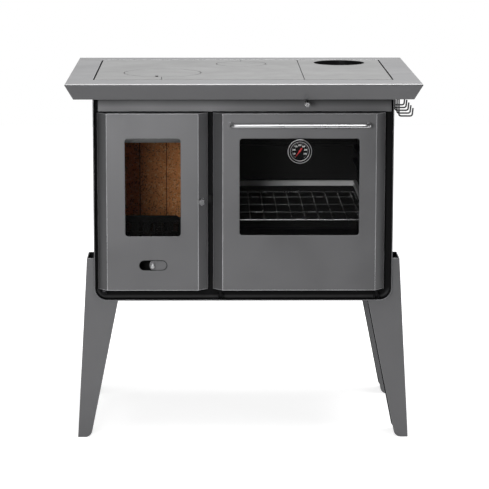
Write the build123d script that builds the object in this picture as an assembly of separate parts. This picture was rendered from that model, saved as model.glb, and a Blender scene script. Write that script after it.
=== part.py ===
from build123d import *
import math
import os

os.makedirs("parts", exist_ok=True)

# A free-standing wood cookstove: firebox on the left, oven on the right, four splayed legs.
# Millimetres, +Z up, the front faces -Y. The origin is on the floor, under the middle.

# ---------------------------------------------------------------- driving dimensions
# whole stove
width = 880.0
depth = 680.0
height = 910.0
fit_gap = 0.3            # clearance of a piece that is dropped or slid into place
pin_gap = 0.1            # radial clearance of a hinge pin
sheet = 2.5              # sheet of the casing, doors and legs

# worktop frame, folded from sheet with a nose that slopes inwards
top_sheet = 3.0
nose_drop = 40.0
nose_slope = 20.0
nose_radius = 2.4
soffit_front = 60.0
soffit_side = 50.0
border_front = 102.0
border_side = 64.0
border_rear = 60.0

# cast hob
hob_thickness = 8.0
hob_side_gap = 4.5       # open joint between the frame and the plates, at the sides
hob_end_gap = 5.5        # the same at the front and rear
hob_split_from_flue = 110.0  # joint between the hob plate and the flue plate
hob_split_gap = 1.8
lid_gap = 2.2            # open joint round a ring lid
lid_step = 8.0           # width of the ledge that a ring lid sits on
front_lid_from_side = 171.0
front_lid_setback = 276.0
front_lid_r = 97.7
rear_lid_from_split = 153.0
rear_lid_from_rear = 175.0
rear_lid_r = 65.0
slit_width = 1.4
lid_notch_x = -13.0      # notch centre, from the middle of the front lid
lid_notch_length = 26.0
lid_notch_width = 8.0
support_height = 10.0
support_ledge = 10.0
support_outside = 16.0
crossbar_width = 24.0

# flue
flue_from_side = 113.0       # from the side of the hob
flue_from_rear = 144.0
flue_bore_r = 68.0
flue_wall = 3.0
flue_lip = 4.0
flue_lip_height = 1.5
collar_length = 48.0

# casing, wrapped round the sides and the bottom
side_overhang = 65.0     # worktop past the casing, on each side
casing_setback = 68.0    # front rim, behind the nose
casing_rear = 60.0       # rear edge, in front of the rear nose
body_height = 515.0      # casing, from its bottom up to the soffit
casing_corner_r = 32.0
panel_slots = 7
panel_slot_length = 60.0
panel_slot_width = 6.0
panel_slot_pitch = 80.0
panel_slot_rise = 85.0
panel_slot_drop = 70.0

# front: doors lie between the casing sides, under a strip
strip_height = 36.0
strip_setback = 75.0
strip_left_gap = 10.5
strip_right_gap = 3.5
strip_sheet = 2.0
plate_sheet = 3.0        # front plate that the doors seal on
door_setback = 50.0
door_depth = 25.0
door_bevel = 24.0
door_rise = 30.0         # bottom edge of the doors above the casing bottom
door_top_gap = 2.4
door_side_gap = 7.5
door_between = 12.5
fire_door_width = 276.5
oven_door_side_gap = 18.1
seal_depth = 13.0
seal_width = 10.0
seal_inset = 3.0
seal_round = 3.5
seal_lip = 2.0
seal_lip_height = 8.0

# door windows
fire_window_width = 138.4
fire_window_drop = 63.2      # from the top edge of the door
fire_window_left = 70.0      # from the left edge of the door
fire_window_rise = 137.6     # from the bottom edge of the door
oven_window_drop = 62.7
oven_window_left = 66.3
oven_window_right = 65.8
oven_window_rise = 140.4
window_r = 7.5
glass_margin = 9.0
glass_thickness = 4.0
glass_frame_lip = 6.0
glass_frame_sheet = 2.0
deflector_drop = 18.0
deflector_sheet = 1.5

# mouths of the firebox and of the oven in the front plate
fire_mouth_inset = 33.0      # from the left edge of the door
fire_mouth_width = 204.0
fire_mouth_rise = 19.0       # from the bottom edge of the door
fire_mouth_drop = 31.6       # from the top edge of the door
oven_mouth_inset_left = 40.0
oven_mouth_inset_right = 38.4
oven_mouth_rise = 67.0
oven_mouth_drop = 33.6

# firebox door: hinge, latch and air shutter
fire_hinge_inset = 15.0
fire_hinge_back = 19.0       # hinge axis behind the face of the door
hinge_pin_r = 3.0
hinge_block_height = 10.0
hinge_block_width = 26.0
hinge_bracket_half = 8.0
hinge_bracket_sheet = 4.0
hinge_tab_sheet = 1.6
hinge_drop = 7.0             # bracket under the door
latch_inset = 15.5           # shaft, from the right edge of the door
latch_rise = 228.0
latch_shaft_r = 4.0
latch_knob_r = 5.6
latch_knob_length = 14.0
latch_knob_reach = 28.0
latch_lobes = 6
latch_lobe_r = 2.3
cam_reach = 16.0
cam_half = 4.5
cam_thickness = 4.0
keeper_lip = 2.0
keeper_height = 20.0
slot_length = 70.0
slot_height = 26.0
slot_from_left = 139.2
slot_rise = 63.7
shutter_length = 78.0
shutter_height = 32.0
shutter_thickness = 2.4
shutter_left = 25.6          # left end of the shutter, from the left end of the slot
shutter_pin_r = 5.0
shutter_pin_from_end = 8.2
shutter_pin_reach = 16.0
guide_length = 146.0
guide_sheet = 1.5
guide_overlap = 4.0

# oven door: hinge, handle and thermometer
oven_hinge_back = 4.0        # axis behind the back of the door
oven_hinge_drop = 17.0
oven_arm_inset_left = 16.0
oven_arm_inset_right = 21.4
oven_arm_width = 6.0
oven_arm_depth = 8.0
oven_arm_rise = 45.0
oven_eye_r = 6.0
lug_width = 3.0
lug_gap = 0.8
handle_r = 5.0
handle_left = 46.0
handle_right = 43.4
handle_drop = 27.1           # from the top edge of the door
handle_reach = 38.0
handle_bend_r = 13.0
gauge_r = 30.0
gauge_drop = 30.7            # from the top of the window
gauge_case_r = 28.0
gauge_case_wall = 1.5
gauge_case_depth = 11.5
gauge_bezel_depth = 6.0
gauge_bezel_width = 7.0
gauge_bezel_round = 1.0
gauge_groove_r = 26.3         # middle of the groove in the bezel
gauge_groove_width = 2.0
gauge_groove_depth = 1.5
gauge_stem_r = 4.0
gauge_stem_length = 26.0
gauge_dial_back = 5.0
gauge_lens_sheet = 1.5
needle_long = 17.0
needle_tail = 9.0
needle_tail_width = 4.0
needle_sheet = 0.8
needle_hub_r = 2.6
needle_angle = 216.0         # clockwise from straight up, the cold end of the scale

# firebox
fire_shell_side_gap = 10.5   # to the casing side
fire_shell_mouth_gap = 13.0  # right wall, outside the mouth
fire_shell_sheet = 3.0
fire_shell_rear_gap = 3.5    # to the rear panel
fire_floor_sheet = 4.0
shell_top_drop = 42.0        # top of the shells under the cooking surface
board_thickness = 12.0
board_count = 3
board_top_gap = 78.0         # under the top of the shell
board_joint = 2.0
side_board_setback = 103.0
grate_frame_rise = 63.0      # above the firebox floor
grate_frame_height = 12.0
grate_side_gap = 58.5        # to the walls of the shell
grate_front_gap = 109.0      # behind the front plate
grate_rear_gap = 51.0
grate_height = 6.0
grate_step = 7.0
grate_slots = 8
grate_slot_width = 8.0
grate_ledge = 10.0
smoke_outlet_drop = 62.0
retainer_gap = 81.0          # behind the front plate
retainer_from_left = 17.0    # from the outside of the shell
retainer_from_right = 30.0
retainer_height = 74.5
retainer_thickness = 9.0
retainer_chamfer = 23.0
retainer_bevel = 6.0
retainer_pitch = 29.7
retainer_slots = 6
retainer_slot_width = 12.0
retainer_slot_height = 21.5
retainer_slot_rise = 35.0
retainer_foot_slot = 20.0
pan_left_gap = 69.0          # to the walls of the shell
pan_right_gap = 22.0
pan_height = 50.0
pan_front_gap = 29.0         # behind the front plate
pan_rear_gap = 51.0
pan_sheet = 2.0
pan_handle_reach = 12.0
pan_handle_width = 40.0
pan_rail_height = 8.0

# oven
oven_rear_gap = 45.0         # in front of the casing's rear edge
oven_sheet = 2.5
runner_rise = 99.0           # above the oven floor
runner_spacing = 97.0
runner_width = 14.0
runner_flange = 12.0
runner_sheet = 2.0
stop_rise = 21.0             # tilt stop above its runner
stop_height = 14.0
stop_width = 10.0
rack_wire_r = 1.8
rack_frame_r = 2.6
rack_side_gap = 8.0
rack_front_gap = 9.0         # behind the front plate
rack_rear_gap = 4.5          # to the tilt stop
rack_wire_margin = 12.3      # outer long wires, from the frame
rack_long_wires = 10
rack_cross_wires = 3
rack_cross_pitch = 123.0      # from the front rail

# smoke box and damper
smoke_box_left_reach = 99.0  # walls, from the middle of the flue
smoke_box_right_reach = 101.0
smoke_box_front_reach = 106.0
smoke_box_rear_reach = 76.0
smoke_box_sheet = 2.0
port_inset = 25.0            # from the front wall of the smoke box
port_length = 90.0
port_height = 34.0
port_rise = 14.0
damper_side_gap = 8.0        # rod, from the wall of the smoke box
damper_drop = 51.0           # rod under the cooking surface
damper_rod_r = 4.0
damper_hole_gap = 0.4
damper_knob_setback = 2.0
damper_knob_length = 12.0
damper_knob_r = 4.2
damper_lobes = 6
damper_lobe_r = 1.8
damper_plate_length = 100.0
damper_plate_lead = 50.0     # plate in front of the port at rest
damper_rod_overlap = 70.0
damper_plate_sheet = 3.0
damper_boss_r = 7.5
damper_boss_length = 20.0
damper_guide = 3.0

# legs
leg_setback = 73.0
leg_rear_setback = 65.0      # rear face of the rear legs, in front of the rear nose
leg_depth = 90.0
leg_rise = 108.0             # leg above the casing bottom
leg_top_out = 18.0           # outer edge at the top, outside the casing
leg_foot_out = 45.0          # outer edge at the foot, outside the casing
leg_foot_width = 33.2
leg_inner = 60.0             # inner edge at the casing bottom, inside the casing side
leg_foot_r = 19.0
leg_foot_sheet = 3.0
leg_flange_in = 55.0         # flange edges, inside the casing side
leg_flange_out = 34.0
bolt_r = 4.0
bolt_head_r = 6.5
bolt_head_height = 5.3
bolt_gap = 0.3
bolt_pitch = 44.0

# hooks on the right side
hook_count = 5
hook_setback = 110.0
hook_spacing = 60.0
hook_wire_r = 2.0
hook_bottom_drop = 52.0      # under the soffit
hook_tip_drop = 32.0
hook_reach = 52.0            # from the casing side
hook_bend_r = 5.5
hook_lean = 2.0
rail_width = 13.0
rail_top_gap = 2.0
rail_height = 9.0
rail_sheet = 2.0
rail_overhang = 6.0

# ---------------------------------------------------------------- derived places
front = -depth / 2
rear = depth / 2
soffit_z = height - nose_drop
deck_bottom = height - top_sheet
hob_bottom = height - hob_thickness
hob_x = width / 2 - border_side
hob_front = front + border_front
hob_rear = rear - border_rear
flue_x = hob_x - flue_from_side
flue_y = rear - flue_from_rear
hob_split_x = flue_x - hob_split_from_flue
front_lid_x = -hob_x + front_lid_from_side
front_lid_y = front + front_lid_setback
rear_lid_x = hob_split_x - rear_lid_from_split
rear_lid_y = rear - rear_lid_from_rear
casing_half = width / 2 - side_overhang
casing_bottom = soffit_z - body_height
casing_in = casing_half - sheet
casing_front = front + casing_setback
casing_back = rear - casing_rear
ledge_z = casing_bottom + sheet
door_face = front + door_setback
door_back = door_face + door_depth
plate_front = door_back + seal_depth
plate_back = plate_front + plate_sheet
door_bottom = casing_bottom + door_rise
strip_bottom = soffit_z - strip_height
door_top = strip_bottom - door_top_gap
fire_door_left = -casing_in + door_side_gap
fire_door_right = fire_door_left + fire_door_width
oven_door_left = fire_door_right + door_between
oven_door_right = casing_in - oven_door_side_gap
shell_top = height - shell_top_drop
fire_hinge_x = fire_door_left + fire_hinge_inset
fire_hinge_y = door_face + fire_hinge_back
latch_x = fire_door_right - latch_inset
latch_z = door_bottom + latch_rise
slot_x = fire_door_left + slot_from_left
slot_z = door_bottom + slot_rise
oven_hinge_y = door_back + oven_hinge_back
oven_hinge_z = door_bottom - oven_hinge_drop
gauge_x = (oven_door_left + oven_window_left + oven_door_right - oven_window_right) / 2
gauge_z = door_top - oven_window_drop - gauge_drop
fire_mouth_left = fire_door_left + fire_mouth_inset
fire_mouth_right = fire_mouth_left + fire_mouth_width
fire_mouth_bottom = door_bottom + fire_mouth_rise
fire_mouth_top = door_top - fire_mouth_drop
fire_floor = fire_mouth_bottom + 1.0
fire_shell_left = -casing_in + fire_shell_side_gap
fire_shell_rear = casing_back - sheet - fire_shell_rear_gap
fire_in_left = fire_shell_left + fire_shell_sheet
fire_shell_right = fire_mouth_right + fire_shell_mouth_gap
fire_in_right = fire_shell_right - fire_shell_sheet
pan_left = fire_in_left + pan_left_gap
pan_right = fire_in_right - pan_right_gap
board_front = fire_shell_rear - fire_shell_sheet - board_thickness
grate_frame_z = fire_floor + grate_frame_rise
hearth_z = grate_frame_z + grate_frame_height
oven_in_left = oven_door_left + oven_mouth_inset_left
oven_in_right = oven_door_right - oven_mouth_inset_right
oven_in_bottom = door_bottom + oven_mouth_rise
oven_in_top = door_top - oven_mouth_drop
oven_rear = casing_back - oven_rear_gap
runner_low = oven_in_bottom + runner_rise
smoke_box_left = flue_x - smoke_box_left_reach
smoke_box_front = flue_y - smoke_box_front_reach
port_front = smoke_box_front + port_inset
damper_x = smoke_box_left - damper_side_gap
damper_plate_front = port_front - damper_plate_lead
damper_rod_end = damper_plate_front + damper_rod_overlap
damper_z = height - damper_drop
skin_back = door_face + sheet
glass_front = skin_back + fit_gap
glass_back = glass_front + glass_thickness


# ---------------------------------------------------------------- helpers
def block(x0, x1, y0, y1, z0, z1):
    """Box between two corners."""
    middle = Pos((x0 + x1) / 2, (y0 + y1) / 2, (z0 + z1) / 2)
    return middle * Box(x1 - x0, y1 - y0, z1 - z0)


def area(x0, x1, y0, y1, radius=0.0):
    """Rectangle between two corners, with rounded corners if a radius is given."""
    place = Pos((x0 + x1) / 2, (y0 + y1) / 2)
    if radius > 0:
        return place * RectangleRounded(x1 - x0, y1 - y0, radius)
    return place * Rectangle(x1 - x0, y1 - y0)


def front_prism(face, y0, y1):
    """A face drawn in the front view, in x and z, run from y0 back to y1."""
    return Pos(0, y1, 0) * extrude(Plane.XZ * face, y1 - y0)


def side_prism(face, x0, x1):
    """A face drawn in the side view, in y and z, run from x0 to x1."""
    return Pos(x0, 0, 0) * extrude(Plane.YZ * face, x1 - x0)


def top_prism(face, z0, z1):
    """A face drawn in the top view, in x and y, run from z0 up to z1."""
    return Pos(0, 0, z0) * extrude(face, z1 - z0)


def rod_between(start, end, radius):
    """Round bar from one point to another."""
    run = Vector(*end) - Vector(*start)
    return Plane(origin=start, z_dir=run).location * Pos(0, 0, run.length / 2) * Cylinder(radius, run.length)


def frame_loft(half_x, half_y, z0, grow, z1):
    """Prism whose rectangle grows evenly on all sides from z0 up to z1."""
    low = Pos(0, 0, z0) * Rectangle(2 * half_x, 2 * half_y)
    high = Pos(0, 0, z1) * Rectangle(2 * (half_x + grow), 2 * (half_y + grow))
    return loft([low, high], ruled=True)


def lobed_face(radius, lobes, lobe_r, first=0):
    """Round knob outline with evenly spaced lobes, the first one at the given angle."""
    face = Circle(radius)
    for turn in PolarLocations(radius, lobes, first):
        face += turn * Circle(lobe_r)
    return face


# ---------------------------------------------------------------- worktop
def top_frame():
    slope = nose_slope / (deck_bottom - soffit_z)
    wall = top_sheet * math.hypot(1, slope)
    low_x = width / 2 - nose_slope
    low_y = depth / 2 - nose_slope
    nose = frame_loft(low_x, low_y, soffit_z, nose_slope, deck_bottom)
    deck = block(-width / 2, width / 2, front, rear, deck_bottom, height)
    deck = fillet(deck.edges().group_by(Axis.Z)[-1], nose_radius)
    grown = slope * top_sheet
    hollow = frame_loft(low_x + grown - wall, low_y + grown - wall, soffit_z + top_sheet,
                        nose_slope - grown, deck_bottom)
    soffit_hole = block(-low_x + soffit_side, low_x - soffit_side,
                        -low_y + soffit_front, low_y - soffit_side, soffit_z, soffit_z + top_sheet)
    hob_hole = block(-hob_x, hob_x, hob_front, hob_rear, deck_bottom, height)
    return nose + deck - hollow - soffit_hole - hob_hole


def hob_support():
    """Welded ring under the deck that the cast plates lie on, with a bar under their joint."""
    z0 = hob_bottom - support_height
    outer = area(-hob_x - support_outside, hob_x + support_outside,
                 hob_front - support_outside, hob_rear + support_outside)
    inner = area(-hob_x + support_ledge, hob_x - support_ledge,
                 hob_front + support_ledge, hob_rear - support_ledge)
    ring = top_prism(outer - inner, z0, hob_bottom)
    mouth = area(-hob_x, hob_x, hob_front, hob_rear)
    upstand = top_prism(outer - mouth, hob_bottom, deck_bottom)
    bar = block(hob_split_x - crossbar_width / 2, hob_split_x + crossbar_width / 2,
                hob_front, hob_rear, z0, hob_bottom)
    return ring + upstand + bar


def lid_seat(x, y, radius):
    """Stepped hole that a ring lid drops into."""
    upper = Pos(x, y, height - hob_thickness / 4) * Cylinder(radius + lid_gap, hob_thickness / 2)
    lower = Pos(x, y, height - hob_thickness / 2) * Cylinder(radius + lid_gap - lid_step, hob_thickness)
    return upper + lower


def lid(x, y, radius):
    """Ring lid with a thinner rim that rests on the ledge of its hole."""
    z = height - hob_thickness
    rim = Pos(x, y, height - hob_thickness / 4) * Cylinder(radius, hob_thickness / 2)
    plug = Pos(x, y, z + hob_thickness / 4) * Cylinder(radius - lid_step, hob_thickness / 2)
    return rim + plug


def hob_plate():
    x0 = -hob_x + hob_side_gap
    x1 = hob_split_x - hob_split_gap / 2
    plate = block(x0, x1, hob_front + hob_end_gap, hob_rear - hob_end_gap, hob_bottom, height)
    plate -= lid_seat(front_lid_x, front_lid_y, front_lid_r)
    plate -= lid_seat(rear_lid_x, rear_lid_y, rear_lid_r)
    plate -= block(front_lid_x - slit_width / 2, front_lid_x + slit_width / 2,
                   hob_front, front_lid_y - front_lid_r, hob_bottom, height)
    plate -= block(rear_lid_x - slit_width / 2, rear_lid_x + slit_width / 2,
                   rear_lid_y + rear_lid_r, hob_rear, hob_bottom, height)
    return plate


def front_lid():
    notch = Pos(front_lid_x + lid_notch_x, front_lid_y - front_lid_r) * SlotOverall(
        lid_notch_length * 2, lid_notch_width, 90)
    return lid(front_lid_x, front_lid_y, front_lid_r) - top_prism(notch, hob_bottom, height)


def rear_lid():
    return lid(rear_lid_x, rear_lid_y, rear_lid_r)


def flue_plate():
    plate = block(hob_split_x + hob_split_gap / 2, hob_x - hob_side_gap,
                  hob_front + hob_end_gap, hob_rear - hob_end_gap, hob_bottom, height)
    outside = flue_bore_r + flue_wall + fit_gap
    plate -= Pos(flue_x, flue_y, height - hob_thickness / 2) * Cylinder(outside, hob_thickness)
    seat_z = height - flue_lip_height
    plate -= Pos(flue_x, flue_y, (seat_z + height) / 2) * Cylinder(outside + flue_lip, flue_lip_height)
    return plate


def flue_collar():
    """Short tube for the flue pipe, hung in the plate by its lip."""
    outside = flue_bore_r + flue_wall
    tube = Cylinder(outside, collar_length)
    lip = Pos(0, 0, (collar_length - flue_lip_height) / 2) * Cylinder(outside + flue_lip, flue_lip_height)
    tube = tube + lip - Cylinder(flue_bore_r, collar_length)
    return Pos(flue_x, flue_y, height - collar_length / 2) * tube


# ---------------------------------------------------------------- casing
def casing_outline(offset):
    """Front view of the casing's outside, grown by an offset, with an open top."""
    radius = casing_corner_r + offset
    low = area(-casing_half - offset, casing_half + offset, casing_bottom - offset, soffit_z, radius)
    square_top = area(-casing_half - offset, casing_half + offset, soffit_z - 2 * radius, soffit_z)
    return low + square_top


def bolt_spots(y0):
    """Depths of the two bolts of a leg whose front face is at y0."""
    middle = y0 + leg_depth / 2
    return [middle - bolt_pitch / 2, middle + bolt_pitch / 2]


def leg_fronts():
    """Front faces of the front and rear legs."""
    return [front + leg_setback, rear - leg_rear_setback - leg_depth]


def bolt_centres():
    x = casing_half - (leg_flange_in + leg_flange_out) / 2
    return [(side * x, y) for side in (-1, 1) for y0 in leg_fronts() for y in bolt_spots(y0)]


def casing():
    wall = casing_outline(0) - casing_outline(-sheet)
    shell = front_prism(wall, casing_front, casing_back)
    for x, y in bolt_centres():
        shell -= Pos(x, y, casing_bottom + sheet / 2) * Cylinder(bolt_r + bolt_gap, 2 * sheet)
    return shell


def rear_panel():
    panel = front_prism(casing_outline(-sheet - fit_gap), casing_back - sheet, casing_back)
    first = -(panel_slots - 1) / 2 * panel_slot_pitch
    for row_z in (casing_bottom + panel_slot_rise, soffit_z - panel_slot_drop):
        for index in range(panel_slots):
            place = Pos(first + index * panel_slot_pitch, row_z)
            slot = place * SlotOverall(panel_slot_length, panel_slot_width)
            panel -= front_prism(slot, casing_back - sheet, casing_back)
    return panel


def front_strip():
    """Folded strip over the doors, with the hole that the damper rod comes through."""
    x0 = -casing_in + strip_left_gap
    x1 = casing_in - strip_right_gap
    y0 = front + strip_setback
    strip = block(x0, x1, y0, plate_front, strip_bottom, soffit_z)
    strip -= block(x0, x1, y0 + strip_sheet, plate_front,
                   strip_bottom + strip_sheet, soffit_z - strip_sheet)
    hole_r = damper_rod_r + damper_hole_gap
    return strip - rod_between((damper_x, y0, damper_z), (damper_x, plate_front, damper_z), hole_r)


def front_plate():
    plate = front_prism(casing_outline(-sheet - fit_gap), plate_front, plate_back)
    plate -= block(fire_mouth_left, fire_mouth_right, plate_front, plate_back,
                   fire_mouth_bottom, fire_mouth_top)
    plate -= block(oven_in_left, oven_in_right, plate_front, plate_back, oven_in_bottom, oven_in_top)
    hole_r = damper_rod_r + damper_hole_gap
    return plate - rod_between((damper_x, plate_front, damper_z), (damper_x, plate_back, damper_z), hole_r)


# ---------------------------------------------------------------- firebox
def fire_shell():
    shell = block(fire_shell_left, fire_shell_right, plate_back, fire_shell_rear,
                  fire_floor - fire_floor_sheet, shell_top)
    shell -= block(fire_in_left, fire_in_right, plate_back, fire_shell_rear - fire_shell_sheet,
                   fire_floor, shell_top)
    outlet_front, outlet_rear = grate_ends()
    shell -= block(fire_in_right, fire_shell_right, outlet_front, outlet_rear,
                   shell_top - smoke_outlet_drop, shell_top)
    for x in (fire_in_left, fire_in_right - grate_ledge):
        shell += block(x, x + grate_ledge, plate_back, fire_shell_rear - fire_shell_sheet,
                       grate_frame_z - fire_shell_sheet, grate_frame_z)
    for x in (pan_left - 2 * pan_sheet, pan_right + pan_sheet):
        shell += block(x, x + pan_sheet, plate_back, pan_rear(),
                       fire_floor, fire_floor + pan_rail_height)
    return shell


def board_top():
    return shell_top - board_top_gap


def back_boards():
    x0 = fire_in_left + board_thickness + 2 * fit_gap
    x1 = fire_in_right - board_thickness - 2 * fit_gap
    pitch = (x1 - x0 + board_joint) / board_count
    boards = []
    for index in range(board_count):
        left = x0 + index * pitch
        boards.append(block(left, left + pitch - board_joint, board_front - fit_gap,
                            board_front - fit_gap + board_thickness, hearth_z, board_top()))
    return Compound(children=boards)


def side_boards():
    y0 = front + side_board_setback
    y1 = fire_shell_rear - fire_shell_sheet - fit_gap
    left = fire_in_left + fit_gap
    right = fire_in_right - fit_gap - board_thickness
    return Compound(children=[
        block(x, x + board_thickness, y0, y1, hearth_z, board_top())
        for x in (left, right)])


def grate_ends():
    """Front and rear ends of the grate."""
    return plate_back + grate_front_gap, fire_shell_rear - fire_shell_sheet - grate_rear_gap


def grate_area(grow):
    """Top view of the grate, grown by an offset."""
    y0, y1 = grate_ends()
    reach = grow - grate_side_gap
    return area(fire_in_left - reach, fire_in_right + reach, y0 - grow, y1 + grow)


def grate_frame():
    frame = block(fire_in_left + fit_gap, fire_in_right - fit_gap, plate_back + fit_gap,
                  fire_shell_rear - fire_shell_sheet - fit_gap, grate_frame_z, hearth_z)
    frame -= top_prism(grate_area(fit_gap), hearth_z - grate_height, hearth_z)
    return frame - top_prism(grate_area(-grate_step), grate_frame_z, hearth_z)


def grate():
    """Cast grate: bars with long slots between them."""
    bars = top_prism(grate_area(0), hearth_z - grate_height, hearth_z)
    middle = (fire_in_left + fire_in_right) / 2
    slotted = fire_in_right - fire_in_left - 2 * (grate_side_gap + grate_step)
    pitch = slotted / grate_slots
    y0, y1 = grate_ends()
    slot_run = (y1 - y0 - 3 * 2 * grate_step) / 2
    y_middle = (y0 + y1) / 2
    for index in range(grate_slots):
        x = middle + (index - (grate_slots - 1) / 2) * pitch
        for side in (-1, 1):
            y = y_middle + side * (slot_run / 2 + grate_step)
            slot = Pos(x, y) * SlotOverall(slot_run, grate_slot_width, 90)
            bars -= top_prism(slot, hearth_z - grate_height, hearth_z)
    return bars


def log_retainer():
    """Cast plate that keeps the logs off the door, with two rows of openings."""
    x0 = fire_shell_left + retainer_from_left
    x1 = fire_shell_right - retainer_from_right
    top = hearth_z + retainer_height
    y0 = plate_back + retainer_gap
    face = area(x0, x1, hearth_z, top)
    upper = face.vertices().group_by(Axis.Y)[-1]
    face = chamfer(upper, retainer_chamfer)
    plate = front_prism(face, y0, y0 + retainer_thickness)
    wedge = Polyline((y0, top), (y0 + retainer_bevel, top), (y0, top - 2 * retainer_bevel), close=True)
    plate -= side_prism(make_face(wedge), x0, x1)
    middle = (x0 + x1) / 2
    for index in range(retainer_slots):
        x = middle + (index - (retainer_slots - 1) / 2) * retainer_pitch
        left = x - retainer_slot_width / 2
        right = x + retainer_slot_width / 2
        slot_z = hearth_z + retainer_slot_rise
        plate -= block(left, right, y0, y0 + retainer_thickness, slot_z, slot_z + retainer_slot_height)
        plate -= block(left, right, y0, y0 + retainer_thickness,
                       hearth_z + retainer_bevel, hearth_z + retainer_bevel + retainer_foot_slot)
    return plate


def pan_rear():
    return fire_shell_rear - fire_shell_sheet - pan_rear_gap


def ash_pan():
    """Folded pan under the grate with a strap handle."""
    x0 = pan_left
    x1 = pan_right
    y0 = plate_back + pan_front_gap
    y1 = pan_rear()
    z0 = fire_floor + fit_gap
    z1 = z0 + pan_height
    pan = block(x0, x1, y0, y1, z0, z1)
    pan -= block(x0 + pan_sheet, x1 - pan_sheet, y0 + pan_sheet, y1 - pan_sheet, z0 + pan_sheet, z1)
    middle = (x0 + x1) / 2
    half = pan_handle_width / 2
    strap_z = z0 + pan_height / 2
    strap = block(middle - half, middle + half, y0 - pan_handle_reach, y0,
                  strap_z - pan_rail_height, strap_z + pan_rail_height)
    strap -= block(middle - half + pan_sheet, middle + half - pan_sheet,
                   y0 - pan_handle_reach + pan_sheet, y0,
                   strap_z - pan_rail_height, strap_z + pan_rail_height)
    return pan + strap


# ---------------------------------------------------------------- oven
def oven_box():
    box = block(oven_in_left - oven_sheet, oven_in_right + oven_sheet, plate_back, oven_rear,
                oven_in_bottom - oven_sheet, oven_in_top + oven_sheet)
    return box - block(oven_in_left, oven_in_right, plate_back, oven_rear - oven_sheet,
                       oven_in_bottom, oven_in_top)


def oven_runners():
    """Angles along both side walls, two levels."""
    y0 = plate_back + fit_gap
    y1 = oven_rear - oven_sheet - stop_width
    runners = []
    for level in range(2):
        top = runner_low + level * runner_spacing + runner_sheet
        for side, wall in ((1, oven_in_left), (-1, oven_in_right)):
            tips = sorted((wall, wall + side * runner_width))
            flange = sorted((wall, wall + side * runner_sheet))
            shelf = block(tips[0], tips[1], y0, y1, top - runner_sheet, top)
            runners.append(shelf + block(flange[0], flange[1], y0, y1, top - runner_flange, top))
    return Compound(children=runners)


def oven_stops():
    """Bands round three walls above each runner, which stop the rack from tipping and at the back."""
    y0 = plate_back + fit_gap
    y1 = oven_rear - oven_sheet
    bands = []
    for level in range(2):
        z0 = runner_low + level * runner_spacing + stop_rise
        band = block(oven_in_left, oven_in_right, y0, y1, z0, z0 + stop_height)
        bands.append(band - block(oven_in_left + stop_width, oven_in_right - stop_width,
                                  y0, y1 - stop_width, z0, z0 + stop_height))
    return Compound(children=bands)


def oven_rack():
    """Wire rack: a round frame, long wires on top of cross wires, with a raised front rail."""
    x0 = oven_in_left + rack_side_gap
    x1 = oven_in_right - rack_side_gap
    y0 = plate_back + rack_front_gap
    y1 = oven_rear - oven_sheet - stop_width - rack_rear_gap
    z = runner_low + runner_sheet + fit_gap + rack_frame_r
    rack = rod_between((x0, y0, z), (x0, y1, z), rack_frame_r)
    rack += rod_between((x1, y0, z), (x1, y1, z), rack_frame_r)
    for y in (y0, y1):
        rack += rod_between((x0, y, z), (x1, y, z), rack_frame_r)
        for x in (x0, x1):
            rack += Pos(x, y, z) * Sphere(rack_frame_r)
    for index in range(rack_cross_wires):
        y = y0 + (index + 1) * rack_cross_pitch
        rack += rod_between((x0, y, z), (x1, y, z), rack_wire_r)
    long_z = z + rack_wire_r
    long_pitch = (x1 - x0 - 2 * rack_wire_margin) / (rack_long_wires - 1)
    for index in range(rack_long_wires):
        x = x0 + rack_wire_margin + index * long_pitch
        rack += rod_between((x, y0 - rack_frame_r, long_z), (x, y1 + rack_frame_r, long_z), rack_wire_r)
    return rack


# ---------------------------------------------------------------- smoke box and damper
def smoke_box():
    """Four walls round the flue, standing on the oven, with a bypass port in the left wall."""
    x0 = smoke_box_left
    x1 = flue_x + smoke_box_right_reach
    y0 = smoke_box_front
    y1 = flue_y + smoke_box_rear_reach
    z0 = oven_in_top + oven_sheet
    t = smoke_box_sheet
    box = block(x0, x1, y0, y1, z0, shell_top - fit_gap)
    box -= block(x0 + t, x1 - t, y0 + t, y1 - t, z0, shell_top)
    port_z = z0 + port_rise + damper_guide
    box -= block(x0, x0 + t, port_front, port_front + port_length, port_z, port_z + port_height)
    guide_top = port_z - damper_guide
    guide_out = x0 - damper_plate_sheet - 2 * fit_gap
    return box + block(guide_out, x0, y0, y1, guide_top - damper_guide, guide_top)


def damper_plate():
    """Plate that slides over the port, with the boss that the rod is fixed in."""
    x1 = smoke_box_left - 2 * fit_gap
    x0 = x1 - damper_plate_sheet
    y0 = damper_plate_front
    z0 = oven_in_top + oven_sheet + port_rise + fit_gap
    z1 = z0 + 2 * damper_guide + port_height
    plate = block(x0, x1, y0, y0 + damper_plate_length, z0, z1 + damper_boss_r)
    boss_end = damper_rod_end
    boss = rod_between((damper_x, boss_end - damper_boss_length, damper_z),
                       (damper_x, boss_end, damper_z), damper_boss_r)
    boss -= block(x1, x1 + 2 * damper_boss_r, boss_end - damper_boss_length, boss_end,
                  damper_z - damper_boss_r, damper_z + damper_boss_r)
    bore = rod_between((damper_x, y0, damper_z), (damper_x, boss_end, damper_z), damper_rod_r + pin_gap)
    return plate + boss - bore


def damper_rod():
    start = front + damper_knob_setback + damper_knob_length / 2
    return rod_between((damper_x, start, damper_z), (damper_x, damper_rod_end, damper_z), damper_rod_r)


def damper_knob():
    """Small star knob at the end of the rod."""
    y0 = front + damper_knob_setback
    y1 = y0 + damper_knob_length
    face = Pos(damper_x, damper_z) * lobed_face(damper_knob_r, damper_lobes, damper_lobe_r)
    star = front_prism(face, y0, y1)
    middle = (y0 + y1) / 2
    return star - rod_between((damper_x, middle, damper_z), (damper_x, y1, damper_z),
                              damper_rod_r + pin_gap)


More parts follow.
